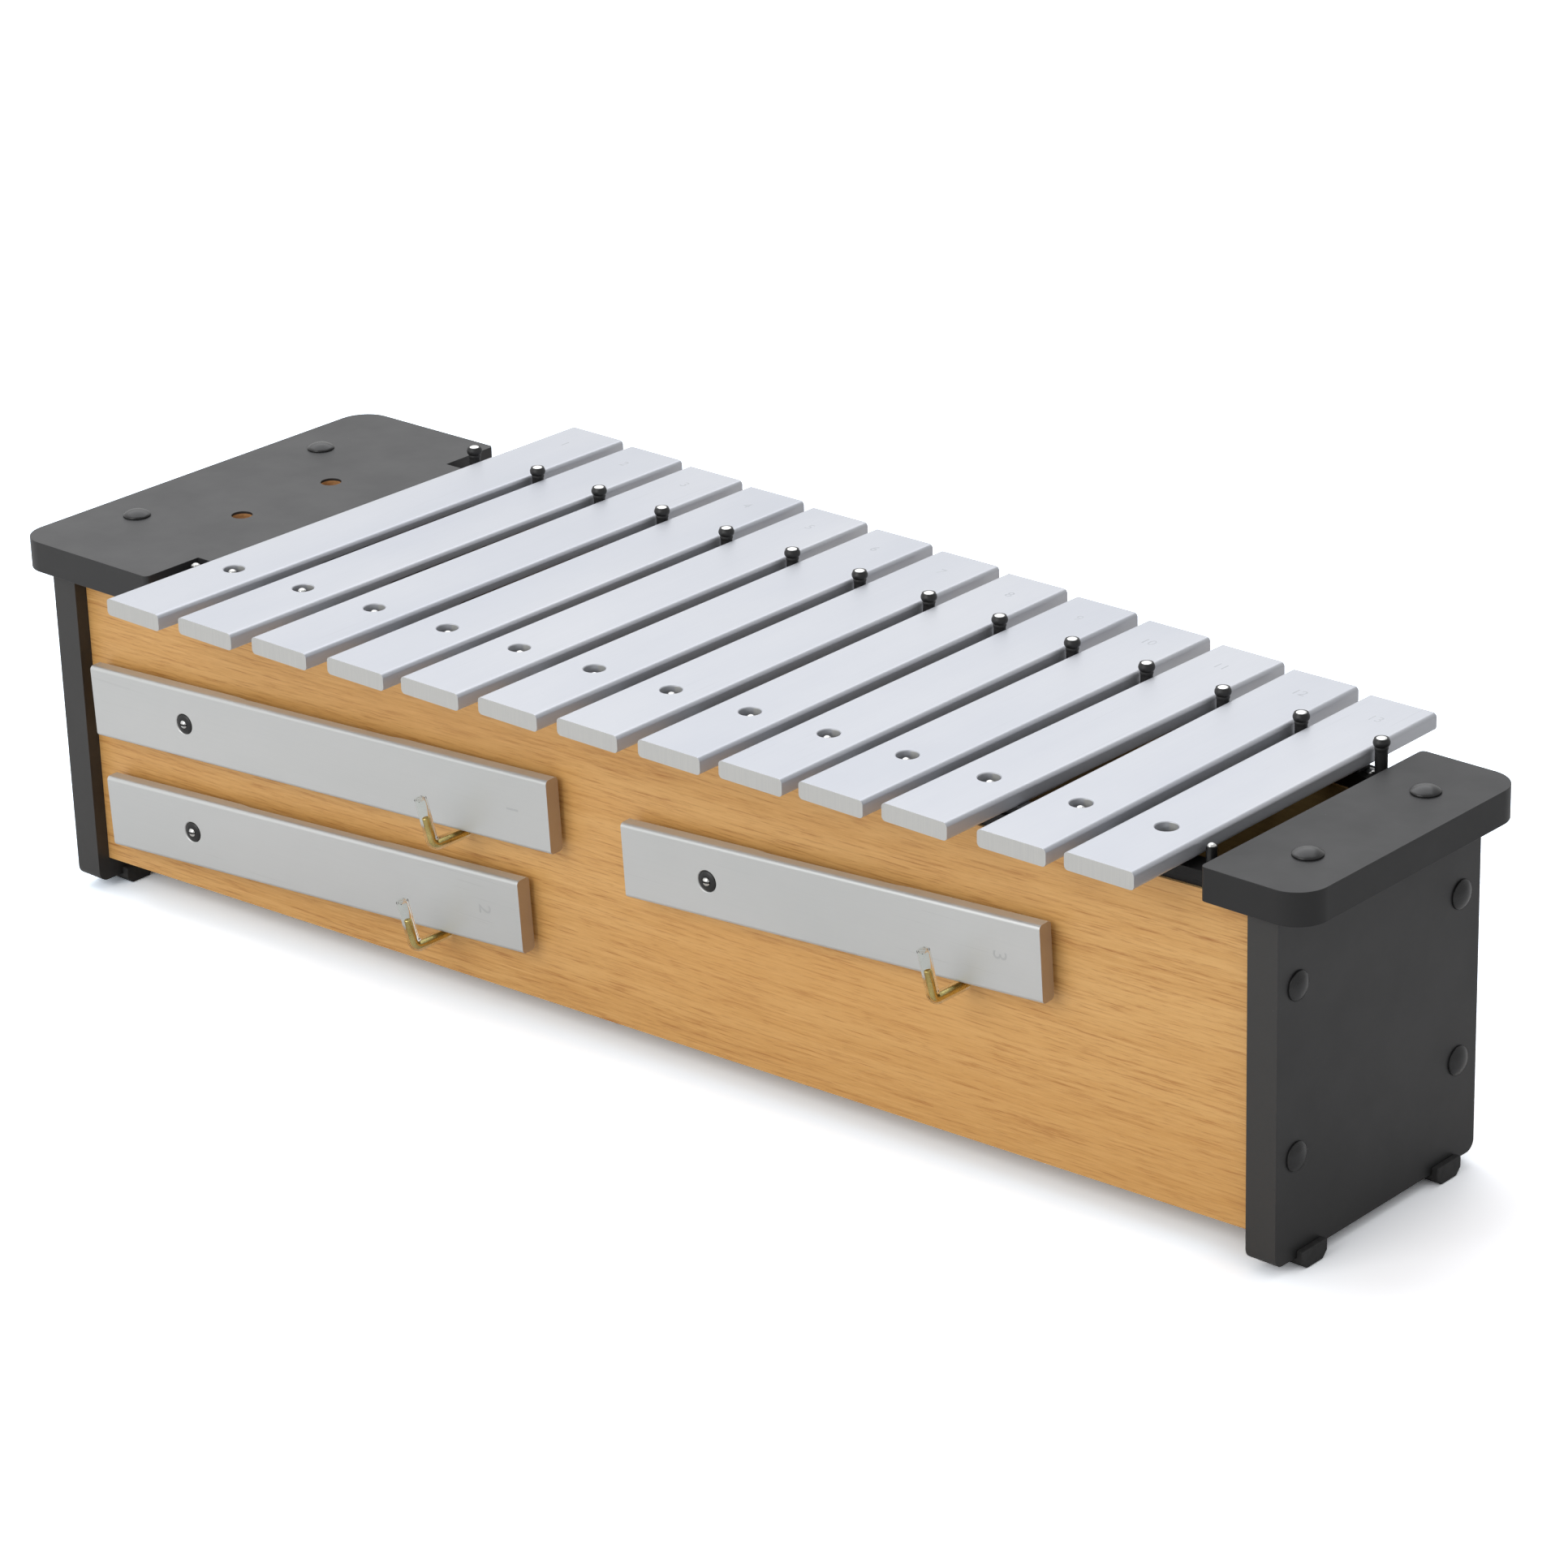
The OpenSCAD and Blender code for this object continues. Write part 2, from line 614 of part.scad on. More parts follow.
// a bar along +Y with its hole at the origin, underside on z = 0
module bar_shape(len, to_end, span, deep) {
    difference() {
        translate([0, len - to_end, bar_t / 2]) rotate([90, 0, 0]) linear_extrude(len)
            round_rect(bar_w, bar_t, bar_r);
        translate([0, 0, -1]) cylinder(h = bar_t + 2, d = bar_hole_d);
        translate([0, 0, bar_t - 0.4]) cylinder(h = 0.4 + eps, d1 = bar_hole_d, d2 = bar_hole_d + 0.8);
        translate([0, len / 2 - to_end, 0]) rotate([90, 0, 90]) translate([0, 0, -bar_w])
            linear_extrude(2 * bar_w) polygon([[-span / 2, -1], [-span / 2, 0], [-span / 2 + 16, deep],
                [span / 2 - 16, deep], [span / 2, 0], [span / 2, -1]]);
    }
}

module tone_bar(i) {
    x = bar_x(i);
    my = mid_y(x);
    span = 2 * my * arch_f + 20;
    color(metal_c) translate([x, my, z_bar]) rotate([0, 0, skew(i)]) translate([0, -2 * my, 0])
        bar_shape(bar_len(i), bar_len(i) / 2 - my, span, arch(i));
}

module bar_c1() { tone_bar(0); }
module bar_d1() { tone_bar(1); }
module bar_e1() { tone_bar(2); }
module bar_f1() { tone_bar(3); }
module bar_g1() { tone_bar(4); }
module bar_a1() { tone_bar(5); }
module bar_b1() { tone_bar(6); }
module bar_c2() { tone_bar(7); }
module bar_d2() { tone_bar(8); }
module bar_e2() { tone_bar(9); }
module bar_f2() { tone_bar(10); }
module bar_g2() { tone_bar(11); }
module bar_a2() { tone_bar(12); }

module spare_bar(k) {
    len = spare_lens[k];
    color(metal_c) on_panel(spare_at[k][0], spare_at[k][1]) translate([0, -spare_gap, 0])
        rotate([0, -spare_at[k][2], 0]) rotate([90, 0, 0]) rotate([0, 0, -90])
        bar_shape(len, len * hole_f, len * 0.36 + 20, 2.4);
}

module spare_bar_fs1() { spare_bar(0); }
module spare_bar_bb1() { spare_bar(1); }
module spare_bar_fs2() { spare_bar(2); }

// ---- assembly -----------------------------------------------------------

left_end_board();
right_end_board();
front_panel();
rear_panel();
bottom_panel();
front_batten();
rear_batten();
low_divider();
high_divider();
left_cap();
right_cap();
front_rail();
rear_rail();
front_felt();
rear_felt();
front_pins();
front_pin_sleeves();
rear_pegs();
rear_peg_cores();
rail_screws();
cap_screws();
cap_screw_covers();
board_screws();
board_screw_covers();
spare_pins();
spare_pin_sleeves();
hooks();
hook_tubes();
foot_front_left();
foot_rear_left();
foot_front_right();
foot_rear_right();
bar_c1();
bar_d1();
bar_e1();
bar_f1();
bar_g1();
bar_a1();
bar_b1();
bar_c2();
bar_d2();
bar_e2();
bar_f2();
bar_g2();
bar_a2();
spare_bar_fs1();
spare_bar_bb1();
spare_bar_fs2();
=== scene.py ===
"""Looks of an alto metallophone: thirteen loose metal bars on a tapered wooden
resonator box, with three spare bars hung on its front panel.

Metres, +Z up, low notes at -X, the spare bars face -Y. Sizes of small pieces
are written in millimetres and scaled by MM.
"""

import json
import math

import bmesh
import bpy
from mathutils import Matrix, Vector


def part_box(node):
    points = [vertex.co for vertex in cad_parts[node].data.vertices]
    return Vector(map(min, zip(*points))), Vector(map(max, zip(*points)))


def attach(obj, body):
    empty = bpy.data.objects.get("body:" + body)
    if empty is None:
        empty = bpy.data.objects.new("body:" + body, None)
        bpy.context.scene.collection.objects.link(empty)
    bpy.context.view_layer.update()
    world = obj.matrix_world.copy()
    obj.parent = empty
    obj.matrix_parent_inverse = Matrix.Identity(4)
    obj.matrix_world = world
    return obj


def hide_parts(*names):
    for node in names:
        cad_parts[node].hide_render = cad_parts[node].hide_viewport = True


MM = 0.001

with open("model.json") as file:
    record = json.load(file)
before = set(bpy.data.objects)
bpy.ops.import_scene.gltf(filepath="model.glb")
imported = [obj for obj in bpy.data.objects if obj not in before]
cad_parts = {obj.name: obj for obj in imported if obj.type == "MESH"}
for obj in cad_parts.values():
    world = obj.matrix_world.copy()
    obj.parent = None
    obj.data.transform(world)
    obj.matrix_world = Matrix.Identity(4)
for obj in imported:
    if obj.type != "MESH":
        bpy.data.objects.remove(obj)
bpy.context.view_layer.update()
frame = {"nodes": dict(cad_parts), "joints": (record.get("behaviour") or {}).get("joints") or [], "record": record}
nodes = frame["nodes"]
body_of = {node: body for body, held in frame["record"]["behaviour"]["bodies"].items() for node in held}
joint_of = {joint["child"]: joint for joint in frame["joints"]}

NOTES = ["c1", "d1", "e1", "f1", "g1", "a1", "b1", "c2", "d2", "e2", "f2", "g2", "a2"]
SPARES = ["fs1", "bb1", "fs2"]

# the front panel's directions: outward, along it to the right, and its slant
PANEL_OUT = Vector(joint_of["spare_bar_fs1"]["axis"])
PANEL_ALONG = Vector((-PANEL_OUT.y, PANEL_OUT.x, 0))
PANEL_SLANT = math.atan2(PANEL_ALONG.y, PANEL_ALONG.x)


# ---- mesh helpers --------------------------------------------------------

WELD = 0.002 * MM
SHARP_EDGE = math.radians(35)


def welded(node):
    """A mesh being edited that copies a CAD piece, its doubles merged and flat faces whole."""
    bm = bmesh.new()
    bm.from_mesh(nodes[node].data)
    bmesh.ops.remove_doubles(bm, verts=bm.verts, dist=WELD)
    bmesh.ops.dissolve_limit(bm, angle_limit=math.radians(0.4), verts=bm.verts, edges=bm.edges)
    return bm


def solids(node):
    """Lowest and highest corner of each separate solid of a CAD piece, from left to right."""
    bm = welded(node)
    left = set(bm.verts)
    found = []
    while left:
        group = {left.pop()}
        rim = list(group)
        while rim:
            spot = rim.pop()
            near = {edge.other_vert(spot) for edge in spot.link_edges} & left
            left -= near
            group |= near
            rim.extend(near)
        spots = [v.co for v in group]
        low = Vector([min(spot[axis] for spot in spots) for axis in range(3)])
        high = Vector([max(spot[axis] for spot in spots) for axis in range(3)])
        found.append((low, high))
    bm.free()
    return sorted(found, key=lambda box: (round(box[0].x, 3), box[0].y))


def rounded(node, radius, steps=3):
    """A copy of a CAD piece whose sharp edges are rounded; the rounding's faces
    carry an edge mark of 1 for the finishes to read."""
    bm = welded(node)
    mark = bm.faces.layers.float.new("edge")
    sharp = [edge for edge in bm.edges
             if len(edge.link_faces) == 2 and edge.calc_face_angle(0) > SHARP_EDGE]
    made = bmesh.ops.bevel(
        bm, geom=sharp, offset=radius * MM, offset_type="OFFSET", affect="EDGES",
        segments=steps, profile=0.5, material=-1, clamp_overlap=True,
    )
    for face in made["faces"]:
        face[mark] = 1.0
    return bm


def turned(outline, steps=40):
    """A solid turned about Z from its outline of (radius, height) points in millimetres."""
    bm = bmesh.new()
    spots = [bm.verts.new((radius * MM, 0, height * MM)) for radius, height in outline]
    edges = [bm.edges.new(pair) for pair in zip(spots, spots[1:])]
    bmesh.ops.spin(
        bm, geom=spots + edges, axis=(0, 0, 1), cent=(0, 0, 0), dvec=(0, 0, 0),
        angle=math.tau, steps=steps, use_merge=True, use_duplicate=False,
    )
    bmesh.ops.remove_doubles(bm, verts=bm.verts, dist=WELD)
    bmesh.ops.recalc_face_normals(bm, faces=bm.faces)
    return bm


def arc(middle, radius, start, end, steps=6):
    """Points of an arc in an outline, its angles in degrees from the outward direction."""
    turns = [math.radians(start + (end - start) * k / steps) for k in range(steps + 1)]
    return [(middle[0] + radius * math.cos(a), middle[1] + radius * math.sin(a)) for a in turns]


def repeated(bm, places):
    """Everything in bm, copied to each place; the pattern itself goes."""
    pattern = bm.verts[:] + bm.edges[:] + bm.faces[:]
    for place in places:
        copy = bmesh.ops.duplicate(bm, geom=pattern)["geom"]
        moved = [part for part in copy if isinstance(part, bmesh.types.BMVert)]
        bmesh.ops.transform(bm, matrix=place, verts=moved)
    bmesh.ops.delete(bm, geom=[p for p in pattern if isinstance(p, bmesh.types.BMVert)], context="VERTS")
    return bm


def facing(spot, out, along):
    """The place at a spot whose Z points out and whose X points along."""
    up = out.cross(along)
    return Matrix.Translation(spot) @ Matrix((along, up, out)).transposed().to_4x4()


def piece(name, bm, finish, node, sharp=38, added=False):
    """Makes the object of a finished mesh, which rides with a CAD piece and stands for it, unless
    it is only added to it."""
    mesh = bpy.data.meshes.new(name)
    bm.to_mesh(mesh)
    bm.free()
    mesh.materials.append(finish)
    for face in mesh.polygons:
        face.use_smooth = True
    mesh.set_sharp_from_angle(angle=math.radians(sharp))
    thing = bpy.data.objects.new(name, mesh)
    bpy.context.scene.collection.objects.link(thing)
    flat = thing.modifiers.new("flat faces", "WEIGHTED_NORMAL")
    flat.keep_sharp = True
    flat.weight = 80
    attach(thing, body_of[node])
    if not added:
        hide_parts(node)


# ---- shader helpers ------------------------------------------------------

def add(tree, kind, sockets=None, **settings):
    """A shader node with its settings, and with values or links for its sockets."""
    node = tree.nodes.new("ShaderNode" + kind)
    for key, value in settings.items():
        setattr(node, key, value)
    for key, value in (sockets or {}).items():
        if isinstance(value, bpy.types.NodeSocket):
            tree.links.new(value, node.inputs[key])
        else:
            node.inputs[key].default_value = value
    return node


def calc(tree, operation, *values):
    """The result of a Math node."""
    return add(tree, "Math", dict(enumerate(values)), operation=operation).outputs[0]


def between(tree, value, low, high, start=0.0, end=1.0):
    """Value from low to high, spread over start to end and held there."""
    sockets = {"Value": value, "From Min": low, "From Max": high, "To Min": start, "To Max": end}
    return add(tree, "MapRange", sockets).outputs[0]


def mixed(tree, factor, one, other):
    """Two colours mixed by a factor."""
    return add(tree, "Mix", {0: factor, 6: one, 7: other}, data_type="RGBA").outputs[2]


def scaled(tree, vector, *scale):
    """A vector stretched along each axis."""
    return add(tree, "Mapping", {"Vector": vector, "Scale": scale}).outputs[0]


def noise(tree, vector, detail=2.0, roughness=0.5, distortion=0.0):
    """Noise of feature size one, from 0 to 1."""
    sockets = {"Vector": vector, "Scale": 1.0, "Detail": detail, "Roughness": roughness,
               "Distortion": distortion}
    return add(tree, "TexNoise", sockets).outputs[0]


def rgb(red, green, blue):
    """A colour given as it looks on a screen, 0 to 255, made linear."""
    def linear(part):
        part /= 255
        return part / 12.92 if part <= 0.04045 else ((part + 0.055) / 1.055) ** 2.4
    return (linear(red), linear(green), linear(blue), 1.0)


def new_group(name):
    """An empty node group that is given a vector and a size, and the vector times that size."""
    group = bpy.data.node_groups.new(name, "ShaderNodeTree")
    group.interface.new_socket("Vector", in_out="INPUT", socket_type="NodeSocketVector")
    group.interface.new_socket("Size", in_out="INPUT", socket_type="NodeSocketFloat").default_value = 1.0
    given = group.nodes.new("NodeGroupInput").outputs
    sized = add(group, "VectorMath", {0: given["Vector"], "Scale": given["Size"]}, operation="SCALE")
    return group, sized.outputs[0]


def gives(group, **results):
    """Makes a group give these values under their names."""
    for label in results:
        group.interface.new_socket(label, in_out="OUTPUT", socket_type="NodeSocketFloat")
    made = group.nodes.new("NodeGroupOutput").inputs
    for label, value in results.items():
        group.links.new(value, made[label])
    return group


def use(tree, group, sockets):
    """What a group gives in a material, from its own values."""
    return add(tree, "Group", sockets, node_tree=group).outputs


# ---- effects shared by finishes -----------------------------------------

def wood_grain_group():
    """Straight grain along X: broad bands, fine fibres and short dark pores."""
    group, sized = new_group("Wood grain")
    # the grain wanders a few millimetres up and down along the sheet
    wander = noise(group, scaled(group, sized, 3.5, 9, 9), detail=1.0)
    lift = calc(group, "MULTIPLY", calc(group, "SUBTRACT", wander, 0.5), 0.008)
    rise = add(group, "CombineXYZ", {"Y": lift, "Z": lift}).outputs[0]
    wavy = add(group, "VectorMath", {0: sized, 1: rise}, operation="ADD").outputs[0]
    bands = noise(group, scaled(group, wavy, 1.3, 105, 105), detail=5.0, roughness=0.7)
    fibres = noise(group, scaled(group, wavy, 34, 880, 880), detail=4.0, roughness=0.72)
    dashes = noise(group, scaled(group, wavy, 120, 1900, 1900), detail=1.0)
    crowd = noise(group, scaled(group, wavy, 14, 60, 60), detail=2.0)
    pores = between(group, calc(group, "ADD", dashes, calc(group, "MULTIPLY", crowd, 0.25)), 0.7, 0.9)
    drift = noise(group, scaled(group, sized, 4, 14, 14), detail=2.0)
    return gives(group, Bands=bands, Fibres=fibres, Pores=pores, Drift=drift)


def handling_group():
    """Marks of use: soft smudges, a few hair scratches and specks of dust."""
    group, sized = new_group("Handling marks")
    smudges = between(group, noise(group, scaled(group, sized, 28, 28, 28), 3.0, 0.6), 0.35, 0.7)
    lines = None
    for turn, along, across in ((0.5, 14, 900), (-0.9, 18, 1100)):
        laid = add(group, "Mapping", {"Vector": sized, "Rotation": (0, 0, turn),
                                      "Scale": (along, across, across)}).outputs[0]
        line = between(group, noise(group, laid, 1.0), 0.735, 0.76)
        lines = line if lines is None else calc(group, "MAXIMUM", lines, line)
    crowd = between(group, noise(group, scaled(group, sized, 9, 9, 9), 1.0), 0.45, 0.6)
    scratches = calc(group, "MULTIPLY", lines, crowd)
    cells = add(group, "TexVoronoi", {"Vector": sized, "Scale": 170.0}).outputs
    small = between(group, cells["Distance"], 0.05, 0.025)
    chosen = calc(group, "GREATER_THAN", add(group, "SeparateColor", {0: cells["Color"]}).outputs[0], 0.9)
    dust = calc(group, "MULTIPLY", small, chosen)
    return gives(group, Smudges=smudges, Scratches=scratches, Dust=dust)


def peel_group():
    """Fine unevenness of a sprayed or moulded skin, as a height."""
    group, sized = new_group("Uneven skin")
    broad = noise(group, scaled(group, sized, 260, 260, 260), 2.0)
    fine = noise(group, scaled(group, sized, 1500, 1500, 1500), 2.0)
    height = calc(group, "ADD", calc(group, "MULTIPLY", broad, 0.7), calc(group, "MULTIPLY", fine, 0.3))
    return gives(group, Height=height)


GRAIN = wood_grain_group()
HANDLING = handling_group()
PEEL = peel_group()


# ---- finishes ------------------------------------------------------------

def new_finish(name, **sockets):
    """A material whose shader has these plain values, with its tree, shader and object coordinates."""
    material = bpy.data.materials.new(name)
    material.use_nodes = True
    tree = material.node_tree
    shader = tree.nodes["Principled BSDF"]
    for key, value in sockets.items():
        shader.inputs[key.replace("_", " ")].default_value = value
    coords = add(tree, "TexCoord").outputs
    return material, tree, shader, coords


def bumped(tree, shader, height, depth):
    """Feeds a height, with its depth in millimetres, to a shader's normal."""
    bump = add(tree, "Bump", {"Height": height, "Distance": depth * MM, "Strength": 1.0})
    tree.links.new(bump.outputs[0], shader.inputs["Normal"])


def feed(tree, shader, **sockets):
    """Links values to a shader's sockets."""
    for key, value in sockets.items():
        tree.links.new(value, shader.inputs[key.replace("_", " ")])


def edge_mark(tree):
    """1 on the faces that round a piece's edges, 0 elsewhere."""
    return add(tree, "Attribute", attribute_name="edge").outputs["Fac"]


def facing_axis(tree, coords, axis):
    """How far the surface faces along an axis, 0 to 1, either way."""
    normal = add(tree, "SeparateXYZ", {0: coords["Normal"]}).outputs
    return calc(tree, "ABSOLUTE", normal[axis])


def wood(name, light, dark, pore, slant=0.0, rough=0.42, coat=0.25, size=1.0, raw_edges=None, back=None):
    """Wood whose grain runs along X, turned by its slant, under a thin satin lacquer; its top
    edge may be raw, and its back, which faces the given way, a plainer sheet."""
    material, tree, shader, coords = new_finish(name, Coat_Weight=coat, Coat_Roughness=0.28, IOR=1.45)
    laid = add(tree, "Mapping", {"Vector": coords["Object"], "Rotation": (0, 0, -slant)}).outputs[0]
    grain = use(tree, GRAIN, {"Vector": laid, "Size": size})
    marks = use(tree, HANDLING, {"Vector": laid})
    bands = between(tree, grain["Bands"], 0.24, 0.74)
    colour = mixed(tree, bands, dark, light)
    fibres = grain["Fibres"]
    colour = mixed(tree, between(tree, fibres, 0.52, 0.7, 0.0, 0.95), colour, light)
    colour = mixed(tree, between(tree, fibres, 0.48, 0.3, 0.0, 0.85), colour, pore)
    warm = tuple(c * k for c, k in zip(light, (0.9, 0.78, 0.6))) + (1.0,)
    shade = between(tree, grain["Drift"], 0.35, 0.75, 0.0, 0.45)
    colour = mixed(tree, shade, colour, warm)
    colour = mixed(tree, calc(tree, "MULTIPLY", grain["Pores"], 0.3), colour, pore)
    if raw_edges:
        top = between(tree, facing_axis(tree, coords, 2), 0.6, 0.8)
        colour = mixed(tree, top, colour, mixed(tree, fibres, raw_edges, light))
    if back:
        turned_away = add(tree, "VectorMath", {0: coords["Normal"], 1: back}, operation="DOT_PRODUCT")
        inner = between(tree, turned_away.outputs["Value"], 0.6, 0.8)
        colour = mixed(tree, inner, colour, mixed(tree, fibres, BACK_DARK, BACK_LIGHT))
    feed(tree, shader, Base_Color=colour)
    worn = calc(tree, "MULTIPLY", marks["Smudges"], 0.09)
    pits = calc(tree, "MULTIPLY", grain["Pores"], 0.12)
    feed(tree, shader, Roughness=calc(tree, "ADD", calc(tree, "ADD", worn, pits), rough))
    relief = calc(tree, "SUBTRACT", calc(tree, "MULTIPLY", grain["Fibres"], 0.4), grain["Pores"])
    bumped(tree, shader, relief, 0.035)
    return material


HOLE_REACH = 5.4          # just past the wall of a beater hole
LACQUER_IN_HOLE = 1.2     # how far the lacquer runs down that wall


def black_lacquer(name, base, holes=(), gloss=0.5, narrow=None):
    """Charcoal satin lacquer on board, pale where edges rub, with painted light making the narrow front and rear
    faces paler;
    bare wood shows in the holes, each given with the height that its lacquer reaches."""
    material, tree, shader, coords = new_finish(name, IOR=1.5, Specular_IOR_Level=gloss)
    skin = use(tree, PEEL, {"Vector": coords["Object"]})["Height"]
    marks = use(tree, HANDLING, {"Vector": coords["Object"]})
    cloudy = noise(tree, scaled(tree, coords["Object"], 12, 12, 12), 3.0)
    pale = tuple(c * 1.35 for c in base[:3]) + (1.0,)
    rubbed = tuple(c * 2.2 for c in base[:3]) + (1.0,)
    colour = mixed(tree, between(tree, cloudy, 0.35, 0.7, 0.0, 0.6), base, pale)
    # painted light: faces turned to the front or rear get a paler charcoal, standing in for the light they catch
    if narrow:
        colour = mixed(tree, between(tree, facing_axis(tree, coords, 1), 0.7, 0.9), colour, narrow)
    wear = calc(tree, "MULTIPLY", edge_mark(tree), between(tree, noise(
        tree, scaled(tree, coords["Object"], 90, 90, 90), 3.0), 0.4, 0.65, 0.1, 0.5))
    colour = mixed(tree, wear, colour, rubbed)
    colour = mixed(tree, calc(tree, "MULTIPLY", marks["Scratches"], 0.3), colour, rubbed)
    colour = mixed(tree, calc(tree, "MULTIPLY", marks["Dust"], 0.4), colour, rgb(150, 150, 150))
    for spot, bare_below in holes:
        flat = add(tree, "VectorMath", {0: coords["Object"], 1: (1, 1, 0)}, operation="MULTIPLY").outputs[0]
        gap = add(tree, "VectorMath", {0: flat, 1: (spot.x, spot.y, 0)}, operation="DISTANCE")
        away = gap.outputs["Value"]
        height = add(tree, "SeparateXYZ", {0: coords["Object"]}).outputs[2]
        deep = calc(tree, "LESS_THAN", height, bare_below)
        inside = calc(tree, "MULTIPLY", calc(tree, "LESS_THAN", away, HOLE_REACH * MM), deep)
        bare = mixed(tree, noise(tree, scaled(tree, coords["Object"], 500, 500, 900), 3.0),
                     rgb(150, 104, 62), rgb(222, 172, 118))
        colour = mixed(tree, inside, colour, bare)
    feed(tree, shader, Base_Color=colour)
    sheen = calc(tree, "ADD", calc(tree, "MULTIPLY", marks["Smudges"], 0.07), 0.42)
    feed(tree, shader, Roughness=calc(tree, "SUBTRACT", sheen, calc(tree, "MULTIPLY", wear, 0.1)))
    bumped(tree, shader, skin, 0.02)
    return material


SKIN_METAL = 0.55         # how metallic the anodised skin is


def bar_metal(name, slant, cool, pale, dark, bright, sawn, bare=SKIN_METAL):
    """Satin anodised aluminium, finely lined along the bar, with sawn ends that are
    barer metal."""
    material, tree, shader, coords = new_finish(name, Metallic=SKIN_METAL, Specular_IOR_Level=0.4)
    laid = add(tree, "Mapping", {"Vector": coords["Object"], "Rotation": (0, 0, -slant)}).outputs[0]
    lines = noise(tree, scaled(tree, laid, 22, 2600, 2600), 2.0, 0.6)
    cloud = noise(tree, scaled(tree, laid, 7, 18, 18), 3.0)
    marks = use(tree, HANDLING, {"Vector": laid})
    colour = mixed(tree, between(tree, cloud, 0.3, 0.7), cool, pale)
    colour = mixed(tree, calc(tree, "MULTIPLY", lines, 0.12), colour, dark)
    colour = mixed(tree, calc(tree, "MULTIPLY", marks["Scratches"], 0.25), colour, dark)
    lengthways = add(tree, "Mapping", {"Vector": coords["Normal"], "Rotation": (0, 0, -slant)}).outputs[0]
    side = add(tree, "SeparateXYZ", {0: lengthways}).outputs[0]
    end = between(tree, calc(tree, "ABSOLUTE", side), 0.85, 0.95)
    saw = noise(tree, scaled(tree, laid, 60, 2400, 60), 2.0)
    cut_face = mixed(tree, calc(tree, "MULTIPLY", saw, 0.35), sawn, dark)
    colour = mixed(tree, end, colour, cut_face)
    feed(tree, shader, Metallic=between(tree, end, 0.0, 1.0, SKIN_METAL, bare))
    # the rounded edges of the sawn ends get the bright colour: filed bare metal and a painted highlight line
    filed_edge_and_highlight = calc(tree, "MULTIPLY", edge_mark(tree), calc(tree, "MULTIPLY", end, 0.5))
    feed(tree, shader, Base_Color=mixed(tree, filed_edge_and_highlight, colour, bright))
    smears = calc(tree, "MULTIPLY", marks["Smudges"], 0.05)
    rough = calc(tree, "ADD", calc(tree, "MULTIPLY", lines, 0.08), smears)
    rough = calc(tree, "ADD", rough, calc(tree, "MULTIPLY", end, 0.12))
    feed(tree, shader, Roughness=calc(tree, "ADD", rough, 0.36))
    cut = calc(tree, "MULTIPLY", calc(tree, "MULTIPLY", saw, end), 0.7)
    bumped(tree, shader, calc(tree, "ADD", calc(tree, "MULTIPLY", lines, 0.25), cut), 0.012)
    return material


# painted shade: the dark colour given to a screw's slot, where shade falls
SLOT_PAINTED_SHADE = rgb(46, 44, 42)


def bright_metal(name, colour, shadow, rough):
    """Plain small metalware: turning rings are too fine to see, so only smears vary it,
    and painted shade darkens a slot, on faces with the edge mark."""
    material, tree, shader, coords = new_finish(name, Metallic=1.0)
    marks = use(tree, HANDLING, {"Vector": coords["Object"], "Size": 4.0})
    tone = mixed(tree, calc(tree, "MULTIPLY", marks["Smudges"], 0.6), colour, shadow)
    feed(tree, shader, Base_Color=mixed(tree, calc(tree, "MULTIPLY", edge_mark(tree), 0.9), tone, SLOT_PAINTED_SHADE))
    feed(tree, shader, Roughness=between(tree, marks["Smudges"], 0.0, 1.0, rough, rough + 0.12))
    bumped(tree, shader, use(tree, PEEL, {"Vector": coords["Object"], "Size": 2.0})["Height"], 0.006)
    return material


def moulded(name, colour, rough, spread, depth, size=1.0):
    """Black plastic or rubber with the fine skin of its mould."""
    material, tree, shader, coords = new_finish(name, IOR=1.5)
    skin = use(tree, PEEL, {"Vector": coords["Object"], "Size": size})["Height"]
    marks = use(tree, HANDLING, {"Vector": coords["Object"], "Size": 2.0})
    pale = tuple(c * 1.6 for c in colour[:3]) + (1.0,)
    tone = mixed(tree, between(tree, skin, 0.35, 0.7), colour, pale)
    tone = mixed(tree, calc(tree, "MULTIPLY", marks["Dust"], 0.35), tone, rgb(140, 140, 138))
    feed(tree, shader, Base_Color=tone)
    feed(tree, shader, Roughness=between(tree, marks["Smudges"], 0.0, 1.0, rough, rough + spread))
    bumped(tree, shader, skin, depth)
    return material


def felt_finish():
    """Black wool felt: matted fibres and a soft nap."""
    material, tree, shader, coords = new_finish("black felt", Roughness=0.95, Sheen_Weight=0.25,
                                                Sheen_Roughness=0.5)
    mat = noise(tree, scaled(tree, coords["Object"], 900, 1400, 1100), 4.0, 0.7, 1.5)
    lint = between(tree, noise(tree, scaled(tree, coords["Object"], 300, 2600, 2600), 2.0), 0.66, 0.74)
    tone = mixed(tree, between(tree, mat, 0.3, 0.7), rgb(14, 14, 15), rgb(38, 38, 40))
    feed(tree, shader, Base_Color=mixed(tree, calc(tree, "MULTIPLY", lint, 0.4), tone, rgb(90, 90, 92)))
    bumped(tree, shader, mat, 0.3)
    return material


def clear_tube_finish():
    """Soft clear thin plastic tube with a slight haze."""
    material, tree, shader, coords = new_finish("clear tube", Transmission_Weight=1.0, IOR=1.06)
    haze = noise(tree, scaled(tree, coords["Object"], 160, 160, 160), 3.0)
    feed(tree, shader, Base_Color=mixed(tree, haze, rgb(246, 249, 247), rgb(254, 255, 254)))
    feed(tree, shader, Roughness=between(tree, haze, 0.3, 0.8, 0.03, 0.1))
    return material
